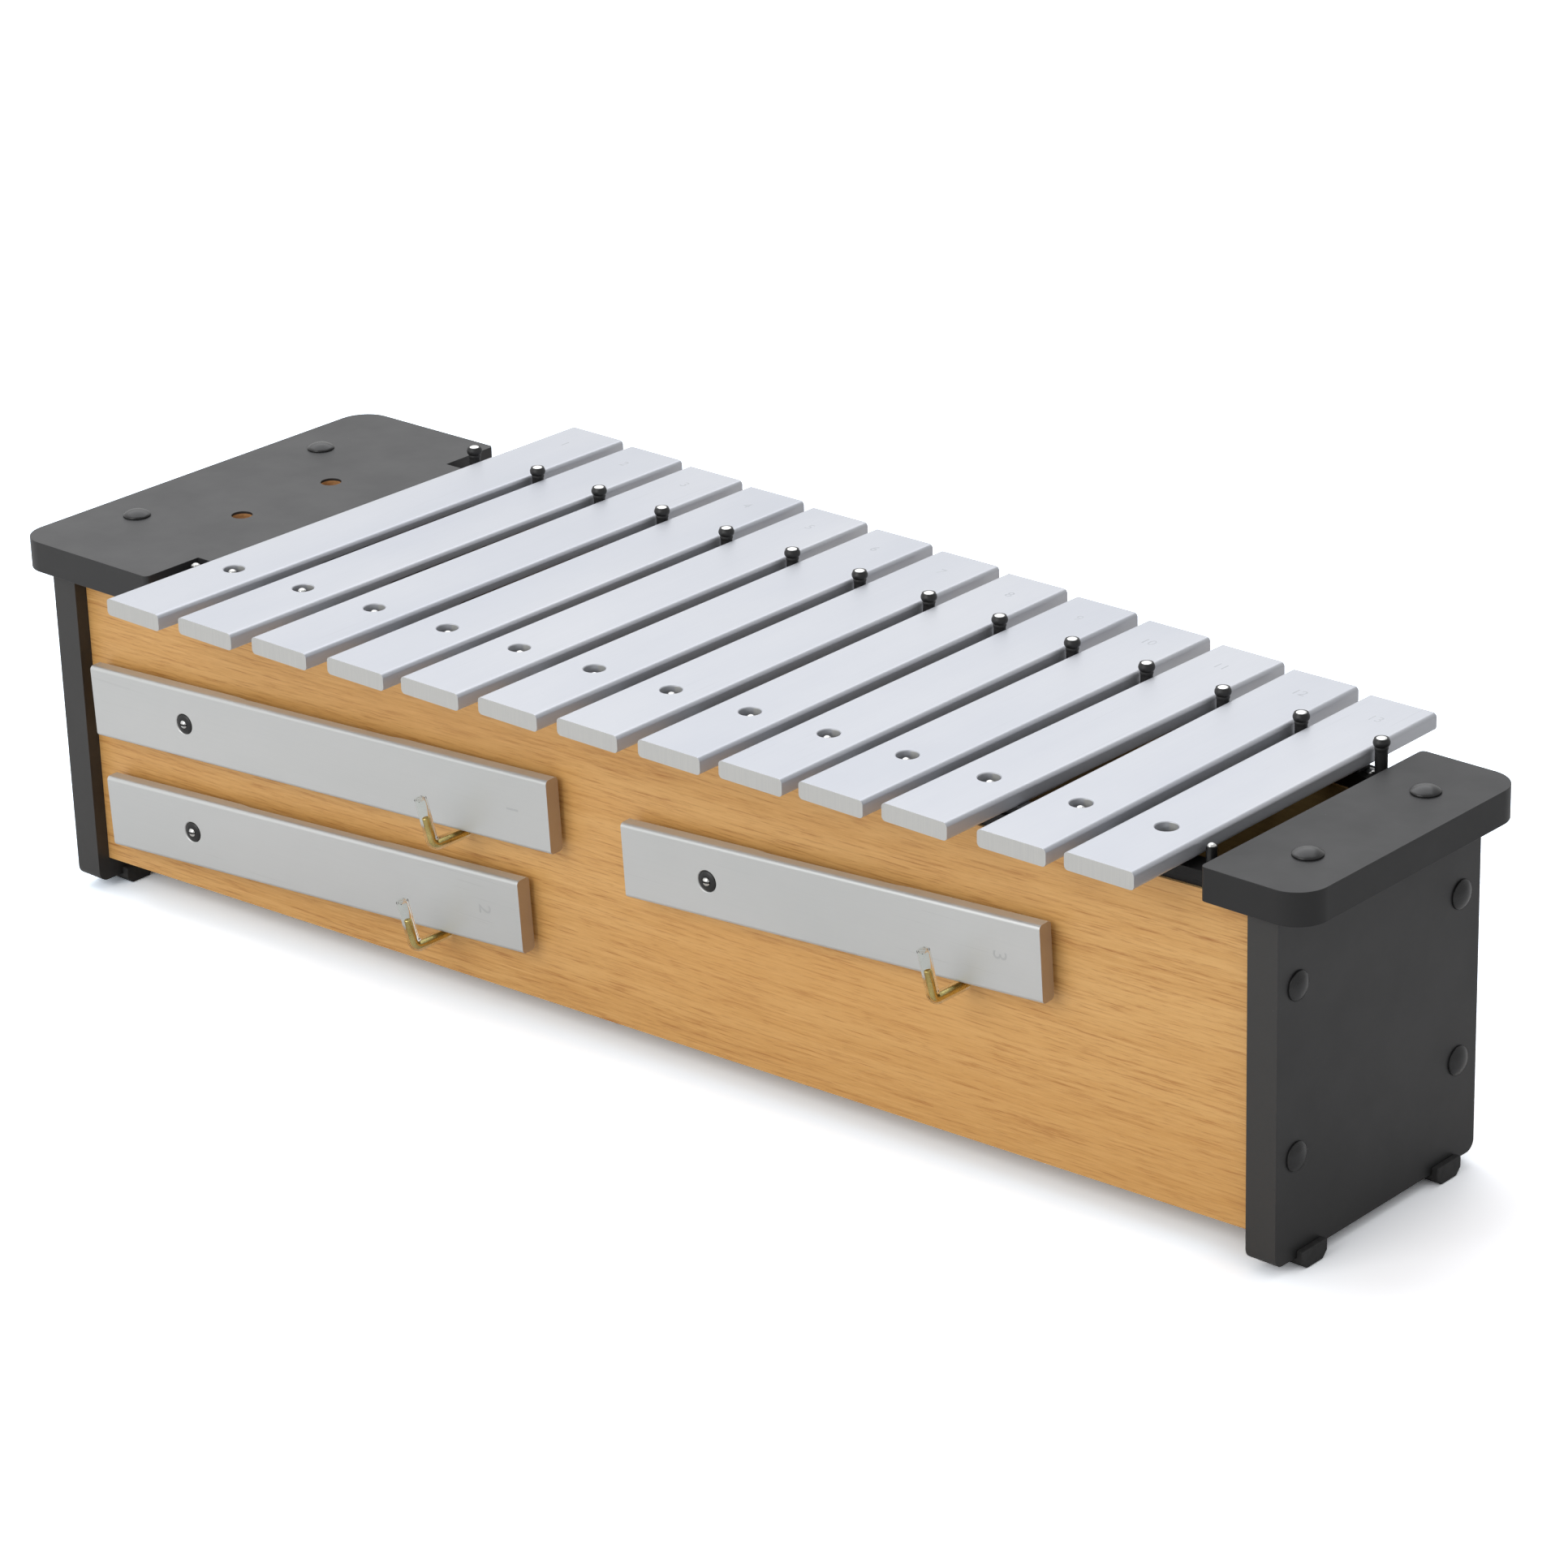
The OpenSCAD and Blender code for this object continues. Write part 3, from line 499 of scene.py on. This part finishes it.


# the second charcoal is painted light, which makes the boards' narrow front and rear faces paler
CHARCOAL, CHARCOAL_PAINTED_LIGHT = (0.020, 0.020, 0.0205, 1.0), (0.036, 0.035, 0.034, 1.0)
HONEY, AMBER, UMBER = rgb(233, 184, 116), rgb(209, 154, 84), rgb(170, 108, 50)
RAW_EDGE = rgb(206, 176, 128)
BACK_LIGHT, BACK_DARK = rgb(170, 145, 95), rgb(132, 108, 66)
VENEER = wood("honey veneer", HONEY, AMBER, UMBER, slant=PANEL_SLANT, raw_edges=RAW_EDGE,
              back=-PANEL_OUT)
REAR_VENEER = wood("honey veneer rear", HONEY, AMBER, UMBER, slant=-PANEL_SLANT, raw_edges=RAW_EDGE,
                   back=Vector((-PANEL_OUT.x, PANEL_OUT.y, 0)))
PLY = wood("plain plywood", rgb(206, 168, 116), rgb(178, 136, 84), rgb(140, 100, 58), rough=0.6,
           coat=0.0, size=0.7)
LACQUER = black_lacquer("charcoal lacquer", CHARCOAL, narrow=CHARCOAL_PAINTED_LIGHT)
DULL_LACQUER = black_lacquer("charcoal lacquer, duller", CHARCOAL, gloss=0.3)
RAIL = wood("black stained rail", rgb(24, 23, 23), rgb(15, 15, 15), rgb(6, 6, 6), rough=0.55, coat=0.0)
FELT = felt_finish()
PLAYING_METAL = bar_metal("playing bar metal", math.pi / 2, rgb(190, 193, 200), rgb(198, 200, 205),
                          rgb(170, 172, 177), rgb(220, 222, 225), rgb(208, 208, 204))
# the spare bars' sawn ends are tinted warm brown, a painted reflection of the wood
SPARE_METAL = bar_metal("spare bar metal", PANEL_SLANT, rgb(207, 209, 208), rgb(213, 214, 213),
                        rgb(184, 185, 184), rgb(232, 232, 231), rgb(190, 178, 166), 0.92)
STEEL = bright_metal("pin steel", rgb(226, 226, 224), rgb(176, 176, 174), 0.14)
NICKEL = bright_metal("nail nickel", rgb(240, 240, 238), rgb(212, 212, 210), 0.34)
BRASS = bright_metal("pale brass", rgb(226, 206, 140), rgb(176, 148, 78), 0.2)
PEG_RUBBER = moulded("peg rubber", (0.012, 0.012, 0.0125, 1.0), 0.42, 0.15, 0.02, 3.0)
FOOT_RUBBER = moulded("foot rubber", (0.02, 0.02, 0.02, 1.0), 0.6, 0.15, 0.05)
SLEEVE = moulded("sleeve plastic", (0.008, 0.008, 0.008, 1.0), 0.35, 0.12, 0.01, 3.0)
COVER = moulded("cover plastic", (0.012, 0.012, 0.0125, 1.0), 0.24, 0.1, 0.004)
TUBE = clear_tube_finish()
STAMP = bright_metal("stamped mark", rgb(182, 184, 188), rgb(164, 166, 172), 0.45)
FAINT_STAMP = bright_metal("faint stamped mark", rgb(204, 206, 206), rgb(192, 194, 194), 0.42)


# ---- the box -------------------------------------------------------------

def make_box():
    """End boards, panels and what the box holds inside."""
    for node in ("left_end_board", "right_end_board"):
        piece(node + "_lacquered", rounded(node, 0.8), LACQUER, node)
    piece("front_panel_veneered", rounded("front_panel", 0.3, steps=2), VENEER, "front_panel")
    piece("rear_panel_veneered", rounded("rear_panel", 0.3, steps=2), REAR_VENEER, "rear_panel")
    for node in ("bottom_panel", "front_batten", "rear_batten", "low_divider", "high_divider"):
        piece(node + "_wood", rounded(node, 0.3, steps=2), PLY, node)


def make_caps():
    """The left cap with its two beater holes, and the right one, whose lacquer is duller."""
    holes = [
        (Vector(mount["pos_m"]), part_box("left_cap")[1].z - LACQUER_IN_HOLE * MM)
        for mount in frame["record"]["mounts"] if mount["kind"] == "bore"
    ]
    drilled = black_lacquer("charcoal lacquer, drilled", CHARCOAL, holes)
    piece("left_cap_lacquered", rounded("left_cap", 0.9), drilled, "left_cap")
    piece("right_cap_lacquered", rounded("right_cap", 0.9), DULL_LACQUER, "right_cap")


def make_rails():
    """Stained rails and the felt strips on them."""
    for node in ("front_rail", "rear_rail"):
        piece(node + "_stained", rounded(node, 0.5, steps=2), RAIL, node)
    for node in ("front_felt", "rear_felt"):
        piece(node + "_wool", rounded(node, 0.9), FELT, node)


def make_feet():
    """Rubber channels pushed onto the boards' bottom edges."""
    for end in ("left", "right"):
        for side in ("front", "rear"):
            node = "foot_{}_{}".format(side, end)
            piece(node + "_rubber", rounded(node, 0.7), FOOT_RUBBER, node)


# ---- small turned pieces -------------------------------------------------

NAIL_HEAD = 2.3
NAIL_SUNK = 1.0           # how deep the nail's head sits in the peg's rim
NAIL_EDGE = 0.95          # height of that head below its dome
NAIL_DOME = 0.75          # its dome's share of the height above the peg


def upright(low, high, height):
    """The place at this height on the upright middle line of a solid."""
    return Matrix.Translation(((low.x + high.x) / 2, (low.y + high.y) / 2, height))


def dome(radius, rise, rim, share, steps):
    """Outline of a shallow dome over a rim at this height, up to its middle."""
    bend = (radius ** 2 + rise ** 2) / 2 / rise
    reach = math.degrees(math.asin(radius / bend))
    return arc((0, rim + rise - bend), bend, 90 - reach * share, 90, steps)


def make_pegs():
    """Rubber pegs, each with a swollen head, held by a nail whose domed head fills its rim."""
    boxes = solids("rear_pegs")
    tall = (boxes[0][1].z - boxes[0][0].z) / MM
    head = (boxes[0][1].x - boxes[0][0].x) / MM / 2
    post = 2.75
    outline = [(0, 0), (post, 0), (post, tall - 5.9), (post + 0.06, tall - 5.2), (post + 0.3, tall - 4.5)]
    outline += arc((head - 2.3, tall - 2), 2.3, -52, 38, 8)
    outline += arc((head - 0.86, tall - 0.36), 0.36, 25, 150, 4)
    seat = tall - NAIL_SUNK
    outline += [(NAIL_HEAD + 0.06, tall - 0.7), (NAIL_HEAD, seat), (0, seat)]
    places = [upright(low, high, low.z) for low, high in boxes]
    piece("peg_rubber_heads", repeated(turned(outline), places), PEG_RUBBER, "rear_pegs")
    rise = (solids("rear_peg_cores")[0][1].z - boxes[0][1].z) / MM * NAIL_DOME
    nail = [(0, -22), (1.05, -22), (1.05, 0), (NAIL_HEAD, 0), (NAIL_HEAD, NAIL_EDGE)]
    nail += dome(NAIL_HEAD, rise, NAIL_EDGE, 0.99, 6)
    tops = [upright(low, high, high.z - NAIL_SUNK * MM) for low, high in boxes]
    piece("peg_nails_domed", repeated(turned(nail, 24), tops), NICKEL, "rear_peg_cores")


def make_front_pins():
    """Domed steel pins, driven to slightly different depths, each in a black sleeve."""
    outline = [(0, -20), (1.5, -20), (1.5, -1.3), (2, -1.2)] + arc((0, -2.35), 2.35, 32, 90, 7)
    pattern = turned(outline, 28)
    places = [upright(low, high, high.z) for low, high in solids("front_pins")]
    piece("front_pin_domes", repeated(pattern, places), STEEL, "front_pins")
    sleeves = bmesh.new()
    for low, high in solids("front_pin_sleeves"):
        tall = (high.z - low.z) / MM
        outline = [(1.52, 0), (2.3, 0), (2.3, tall - 0.3), (2.05, tall), (1.52, tall)]
        made = turned(outline + outline[:1], 28)
        mesh = bpy.data.meshes.new("sleeve")
        repeated(made, [upright(low, high, low.z)]).to_mesh(mesh)
        made.free()
        sleeves.from_mesh(mesh)
        bpy.data.meshes.remove(mesh)
    piece("front_pin_sleeves_black", sleeves, SLEEVE, "front_pin_sleeves")


def cover_outline(across, tall):
    """A domed cover: a short straight rim and a shallow dome with a soft shoulder."""
    rim, half = 0.8, across / 2
    side = [(0, 0), (half - 0.15, 0), (half, 0.15), (half, rim - 0.25)]
    return side + dome(half, tall - rim, rim, 0.975, 10)


def make_covers():
    """Domed black covers over the screws in the caps and the end boards."""
    low, high = solids("cap_screw_covers")[0]
    outline = cover_outline((high.x - low.x) / MM, (high.z - low.z) / MM)
    places = [upright(low, high, low.z) for low, high in solids("cap_screw_covers")]
    piece("cap_covers_domed", repeated(turned(outline, 56), places), COVER, "cap_screw_covers")
    places = []
    for low, high in solids("board_screw_covers"):
        side = 1 if low.x > 0 else -1
        spot = Vector((low.x if side > 0 else high.x, (low.y + high.y) / 2, (low.z + high.z) / 2))
        places.append(facing(spot, Vector((side, 0, 0)), Vector((0, side, 0))))
    piece("board_covers_domed", repeated(turned(outline, 56), places), COVER, "board_screw_covers")


def make_screws():
    """Countersunk screws that the covers hide, and the rails' small round-headed ones."""
    for node in ("cap_screws", "board_screws"):
        piece(node + "_steel", rounded(node, 0.1, steps=1), STEEL, node)
    low, high = solids("rail_screws")[0]
    head = (high.x - low.x) / MM / 2
    tall = (high.z - low.z) / MM
    outline = [(0, 0), (1.5, 0), (1.5, tall - 1.6), (head, tall - 1.6), (head, tall - 1.1)]
    outline += arc((0, tall - 4.06), 4.06, 52, 90, 6)
    places = [upright(low, high, low.z) for low, high in solids("rail_screws")]
    piece("rail_screws_domed", repeated(turned(outline, 28), places), STEEL, "rail_screws")


# ---- spare bars' pins and hooks -----------------------------------------

SPARE_GAP, BAR_THICK, BAR_WIDE, SPARE_PIN_OUT = 3.0, 8.0, 35.0, 1.4
CROWN = 0.9               # height of a spare pin's round end
SLOT_WIDE, SLOT_DEEP = 0.8, 0.9
HOOK_TURN, HOOK_RISE = math.radians(72), math.radians(3)
HOOK_BEND_R, HOOK_REACH, HOOK_ARM, HOOK_INTO = 4.5, 25.0, 15.6, 12.5
TUBE_LEN, TUBE_R, TUBE_BORE_R, WIRE_R = 25.5, 2.8, 2.1, 1.45


def pin_on_panel(name):
    """Where the middle of a spare bar's pin leaves the front panel's face."""
    return Vector(joint_of["spare_bar_" + name]["pos_m"]) - PANEL_OUT * (SPARE_GAP + BAR_THICK / 2) * MM


def spare_pin_places():
    """At each spare bar's pin, on the front panel's face, looking outward."""
    return [facing(pin_on_panel(name), PANEL_OUT, PANEL_ALONG) for name in SPARES]


def make_spare_pins():
    """Screws with slotted round ends, in black sleeves that fill the bars' holes."""
    places = spare_pin_places()
    front = SPARE_GAP + BAR_THICK
    tip = front + SPARE_PIN_OUT
    pattern = turned([(0, -12), (2, -12), (2, tip - CROWN)] + arc((0, tip - 2.5), 2.5, 37, 90, 8), 32)
    # the slot's faces get the edge mark, so the pin steel paints them dark as shade in the slot
    slot_shade_layer = pattern.faces.layers.float.new("edge")

    def crown_faces():
        return [face for face in pattern.faces if face.calc_center_median().z > (tip - CROWN - 0.05) * MM]

    # the driver's slot, cut level across the domed end
    for side in (-1, 1):
        crown = crown_faces()
        rim = {edge for face in crown for edge in face.edges}
        corners = {corner for face in crown for corner in face.verts}
        bmesh.ops.bisect_plane(pattern, geom=[*crown, *rim, *corners], dist=1e-7,
                               plane_co=(0, side * SLOT_WIDE / 2 * MM, 0), plane_no=(0, side, 0))
    floor = [face for face in crown_faces() if abs(face.calc_center_median().y) < SLOT_WIDE / 2 * MM]
    before = set(pattern.faces)
    sunk = bmesh.ops.extrude_face_region(pattern, geom=floor)["geom"]
    bmesh.ops.translate(pattern, vec=(0, 0, -SLOT_DEEP * MM),
                        verts=[part for part in sunk if isinstance(part, bmesh.types.BMVert)])
    for face in set(pattern.faces) - before:
        face[slot_shade_layer] = 1.0
    bmesh.ops.delete(pattern, geom=floor, context="FACES")
    piece("spare_pin_ends", repeated(pattern, places), STEEL, "spare_pins")
    low, high = solids("spare_pin_sleeves")[0]
    flange = (high.z - low.z) / MM / 2
    hub = flange - 1.7
    bore = 2.02
    outline = [(bore, 0), (flange, 0), (flange, SPARE_GAP - 0.25), (flange - 0.15, SPARE_GAP - 0.1),
               (hub, SPARE_GAP - 0.1), (hub, front - 0.5), (hub - 0.3, front - 0.1), (3.6, front + 0.25),
               (2.7, front + 0.45), (2.3, front + 0.4), (bore, front + 0.1), (bore, 0)]
    piece("spare_sleeves_black", repeated(turned(outline, 48), places), SLEEVE, "spare_pin_sleeves")


def hook_places():
    """At each hook's root on the front panel's face, Z outward along its shank, Y up."""
    places = []
    pin = pin_on_panel(SPARES[0])
    out = (PANEL_OUT * math.cos(HOOK_RISE) + Vector((0, 0, 1)) * math.sin(HOOK_RISE)).normalized()
    for low, high in solids("hooks"):
        # the wire starts in the panel and its lowest stretch is there, since it rises outward
        root = Vector((low.x + WIRE_R * MM, 0, low.z + WIRE_R * MM * math.cos(HOOK_RISE)))
        spot = root + Vector((PANEL_OUT.x, 0, math.sin(HOOK_RISE))) * HOOK_INTO * MM
        spot.y = pin.y + (spot.x - pin.x) * math.tan(PANEL_SLANT)
        places.append(facing(spot, out, PANEL_ALONG))
    return places


def bent_rod(bm, radius, start, arm):
    """A round skin out along Z from its start, bent up towards Y, with a straight arm;
    gives the loops of edges at its two open ends."""
    ring = bmesh.ops.create_circle(bm, segments=28, radius=radius * MM,
                                   matrix=Matrix.Translation((0, 0, start * MM)))["verts"]
    tail = HOOK_BEND_R * math.tan(HOOK_TURN / 2)
    first = list({edge for corner in ring for edge in corner.link_edges})

    def pull(edges, way):
        out = bmesh.ops.extrude_edge_only(bm, edges=edges)["geom"]
        corners = {part for part in out if isinstance(part, bmesh.types.BMVert)}
        bmesh.ops.translate(bm, vec=way, verts=list(corners))
        return [part for part in out if isinstance(part, bmesh.types.BMEdge) and set(part.verts) <= corners]

    edges = pull(first, Vector((0, 0, (HOOK_REACH - tail - start) * MM)))
    spun = bmesh.ops.spin(
        bm, geom=edges, cent=(0, HOOK_BEND_R * MM, (HOOK_REACH - tail) * MM), axis=(-1, 0, 0),
        dvec=(0, 0, 0), angle=HOOK_TURN, steps=18, use_duplicate=False,
    )
    edges = [part for part in spun["geom_last"] if isinstance(part, bmesh.types.BMEdge)]
    return first, pull(edges, Vector((0, math.sin(HOOK_TURN), math.cos(HOOK_TURN))) * (arm - tail) * MM)


def make_hooks():
    """Brass screw hooks with clear tubes pushed over them, open at the top."""
    places = hook_places()
    wire = bmesh.new()
    ends = bent_rod(wire, WIRE_R, -HOOK_INTO, HOOK_ARM)
    bmesh.ops.holes_fill(wire, edges=[*ends[0], *ends[1]])
    bmesh.ops.recalc_face_normals(wire, faces=wire.faces)
    bmesh.ops.bevel(wire, geom=[*ends[0], *ends[1]], offset=0.6 * MM, offset_type="OFFSET",
                    affect="EDGES", segments=4, profile=0.5, material=-1, clamp_overlap=True)
    piece("hooks_brass", repeated(wire, places), BRASS, "hooks")
    tube = bmesh.new()
    outer = bent_rod(tube, TUBE_R, SPARE_GAP, TUBE_LEN)
    inner = bent_rod(tube, TUBE_BORE_R, SPARE_GAP, TUBE_LEN)
    for loops in zip(outer, inner):
        bmesh.ops.bridge_loops(tube, edges=[*loops[0], *loops[1]])
    bmesh.ops.recalc_face_normals(tube, faces=tube.faces)
    piece("hook_tubes_clear", repeated(tube, places), TUBE, "hook_tubes", sharp=50)


# ---- bars ----------------------------------------------------------------

NUMBER_TALL, SPARE_NUMBER_TALL = 7.5, 10
NUMBER_FROM_REAR, SPARE_NUMBER_FROM_END = 21, 22
NUMBER_PROUD = 0.012


def stamped(number, place, node, finish, tall):
    """A small plain number pressed faintly into a bar's face."""
    name = node + "_number"
    curve = bpy.data.curves.new(name, "FONT")
    curve.body = str(number)
    curve.size = tall * MM
    curve.extrude = NUMBER_PROUD * MM
    curve.align_x = "CENTER"
    curve.align_y = "CENTER"
    source = bpy.data.objects.new(name, curve)
    bpy.context.scene.collection.objects.link(source)
    bpy.context.view_layer.update()
    mesh = bpy.data.meshes.new_from_object(source.evaluated_get(bpy.context.evaluated_depsgraph_get()))
    bpy.data.objects.remove(source)
    bm = bmesh.new()
    bm.from_mesh(mesh)
    bpy.data.meshes.remove(mesh)
    bmesh.ops.transform(bm, matrix=place, verts=bm.verts)
    piece(name, bm, finish, node, added=True)


def make_playing_bars():
    """The thirteen loose bars, numbered at their rear ends."""
    for count, note in enumerate(NOTES):
        node = "bar_" + note
        piece(node + "_metal", rounded(node, 0.5), PLAYING_METAL, node, sharp=50)
        low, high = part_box(node)
        spot = Vector(((low.x + high.x) / 2, high.y - NUMBER_FROM_REAR * MM, high.z))
        stamped(count + 1, Matrix.Translation(spot), node, STAMP, NUMBER_TALL)


def make_spare_bars():
    """The three bars on the front panel, numbered at their right ends."""
    for count, name in enumerate(SPARES):
        node = "spare_bar_" + name
        piece(node + "_metal", rounded(node, 0.3), SPARE_METAL, node, sharp=50)
        low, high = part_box(node)
        pin = Vector(joint_of[node]["pos_m"])
        # the bar rests on its hook, a little higher at its right end
        tilt = math.asin((high.z - low.z - BAR_WIDE * MM) / math.hypot(high.x - low.x, high.y - low.y))
        lengthways = PANEL_ALONG * math.cos(tilt) + Vector((0, 0, math.sin(tilt)))
        along = (high.x - SPARE_NUMBER_FROM_END * MM - pin.x) / PANEL_ALONG.x
        spot = pin + lengthways * along + PANEL_OUT * BAR_THICK / 2 * MM
        # the number reads across the bar, its top towards the end without the hole
        place = facing(spot, PANEL_OUT, lengthways.cross(PANEL_OUT))
        stamped(count + 1, place, node, FAINT_STAMP, SPARE_NUMBER_TALL)


make_box()
make_caps()
make_rails()
make_feet()
make_pegs()
make_front_pins()
make_covers()
make_screws()
make_spare_pins()
make_hooks()
make_playing_bars()
make_spare_bars()


# ---- floor, light and camera --------------------------------------------

def seen_directly(tree):
    """1 for rays from the camera, off a shiny surface or through the clear tube."""
    rays = add(tree, "LightPath").outputs
    shiny = calc(tree, "MAXIMUM", rays["Is Glossy Ray"], rays["Is Transmission Ray"])
    return calc(tree, "MAXIMUM", rays["Is Camera Ray"], shiny)


# the sheet as the camera and the clear tube see it; its bounce light is the plain tone
# the first tone's cool tint cancels the warm light the wood bounces onto the sheet; the last tone is a painted
# shadow to the right of the box
PAPER_WHITE, PAPER_RIGHT, PAPER_PAINTED_SHADOW = (1.85, 2.02, 2.2, 1), (1.88, 1.9, 1.93, 1), (1.56, 1.55, 1.57, 1)
PAPER_PLAIN = (0.7, 0.7, 0.7, 1)


def make_floor():
    """A wide sheet of white paper."""
    bm = bmesh.new()
    bmesh.ops.create_grid(bm, x_segments=1, y_segments=1, size=12)
    mesh = bpy.data.meshes.new("floor")
    bm.to_mesh(mesh)
    bm.free()
    floor = bpy.data.objects.new("floor", mesh)
    bpy.context.scene.collection.objects.link(floor)
    paper = bpy.data.materials.new("white paper sweep")
    paper.use_nodes = True
    tree = paper.node_tree
    tree.nodes.clear()
    rays = add(tree, "LightPath").outputs
    straight = calc(tree, "LESS_THAN", rays["Glossy Depth"], 0.5)
    through = calc(tree, "MULTIPLY", rays["Is Transmission Ray"], straight)
    seen = calc(tree, "MAXIMUM", rays["Is Camera Ray"], through)
    # a painted shadow makes the sheet greyer to the right of the box, and the wood's glow is whitened in front of
    # it by the sheet's cool tint
    place = add(tree, "SeparateXYZ", {0: add(tree, "TexCoord").outputs["Object"]}).outputs
    right = between(tree, place[0], 0.30, 0.38)
    # the area of that painted shadow, from the box's front line backwards
    painted_shadow_front = calc(tree, "MULTIPLY", between(tree, place[1], -0.16, -0.04), between(tree, place[0], 0.85, 0.5))
    white = mixed(tree, right, PAPER_WHITE, PAPER_RIGHT)
    white = mixed(tree, calc(tree, "MULTIPLY", right, painted_shadow_front), white, PAPER_PAINTED_SHADOW)
    plain = add(tree, "BsdfDiffuse", {"Color": mixed(tree, seen, PAPER_PLAIN, white)})
    add(tree, "OutputMaterial", {"Surface": plain.outputs[0]})
    mesh.materials.append(paper)


def make_world():
    """An even pale room, white where it is seen."""
    world = bpy.data.worlds.new("studio")
    bpy.context.scene.world = world
    world.use_nodes = True
    tree = world.node_tree
    tree.nodes.clear()
    strength = between(tree, seen_directly(tree), 0.0, 1.0, 0.55, 1.0)
    # shiny pieces find the room dimmer on the right than on the left
    way = add(tree, "SeparateXYZ", {0: add(tree, "TexCoord").outputs["Generated"]}).outputs
    room = between(tree, way[0], -0.6, 0.35, 1.0, 0.55)
    shiny = add(tree, "LightPath").outputs["Is Glossy Ray"]
    dimmed = between(tree, shiny, 0.0, 1.0, 1.0, room)
    light = calc(tree, "MULTIPLY", strength, dimmed)
    sky = add(tree, "Background", {"Color": (1, 1, 1, 1), "Strength": light})
    add(tree, "OutputWorld", {"Surface": sky.outputs[0]})


LIT_SPOT = Vector((0, 0, 0.1))


def softbox(name, spot, wide, power, tint=(1, 1, 1)):
    """A square lamp, turned to the middle of the box."""
    lamp = bpy.data.lights.new(name, "AREA")
    lamp.shape = "SQUARE"
    lamp.size = wide
    lamp.energy = power
    lamp.color = tint
    holder = bpy.data.objects.new(name, lamp)
    holder.location = spot
    holder.rotation_mode = "QUATERNION"
    holder.rotation_quaternion = (LIT_SPOT - Vector(spot)).to_track_quat("-Z", "Y")
    bpy.context.scene.collection.objects.link(holder)


def make_lights():
    """A wide soft light from above at the left rear, and a smaller one from the front."""
    softbox("overhead softbox", (-0.9, 0.8, 2.3), 3.0, 38, (0.95, 0.965, 1))
    softbox("front softbox", (-0.2, -2.1, 1.2), 1.5, 20)


def make_camera():
    """Looks at the box from its front right, a little above, through a long lens."""
    azimuth, elevation, roll = math.radians(42.47), math.radians(22.95), math.radians(-1.79)
    target = Vector((0, 0, 0.1079))
    away, right, up = 2.3294, 0.0141, -0.0019
    back = Vector((math.sin(azimuth) * math.cos(elevation), -math.cos(azimuth) * math.cos(elevation),
                   math.sin(elevation)))
    turn = (-back).to_track_quat("-Z", "Y").to_matrix() @ Matrix.Rotation(roll, 3, "Z")
    lens = bpy.data.cameras.new("camera")
    lens.lens = 119.9
    lens.sensor_width = 36
    camera = bpy.data.objects.new("camera", lens)
    camera.matrix_world = Matrix.Translation(target + turn @ Vector((right, up, away))) @ turn.to_4x4()
    bpy.context.scene.collection.objects.link(camera)
    bpy.context.scene.camera = camera


make_floor()
make_world()
make_lights()
make_camera()
bpy.context.scene.view_settings.view_transform = "Standard"
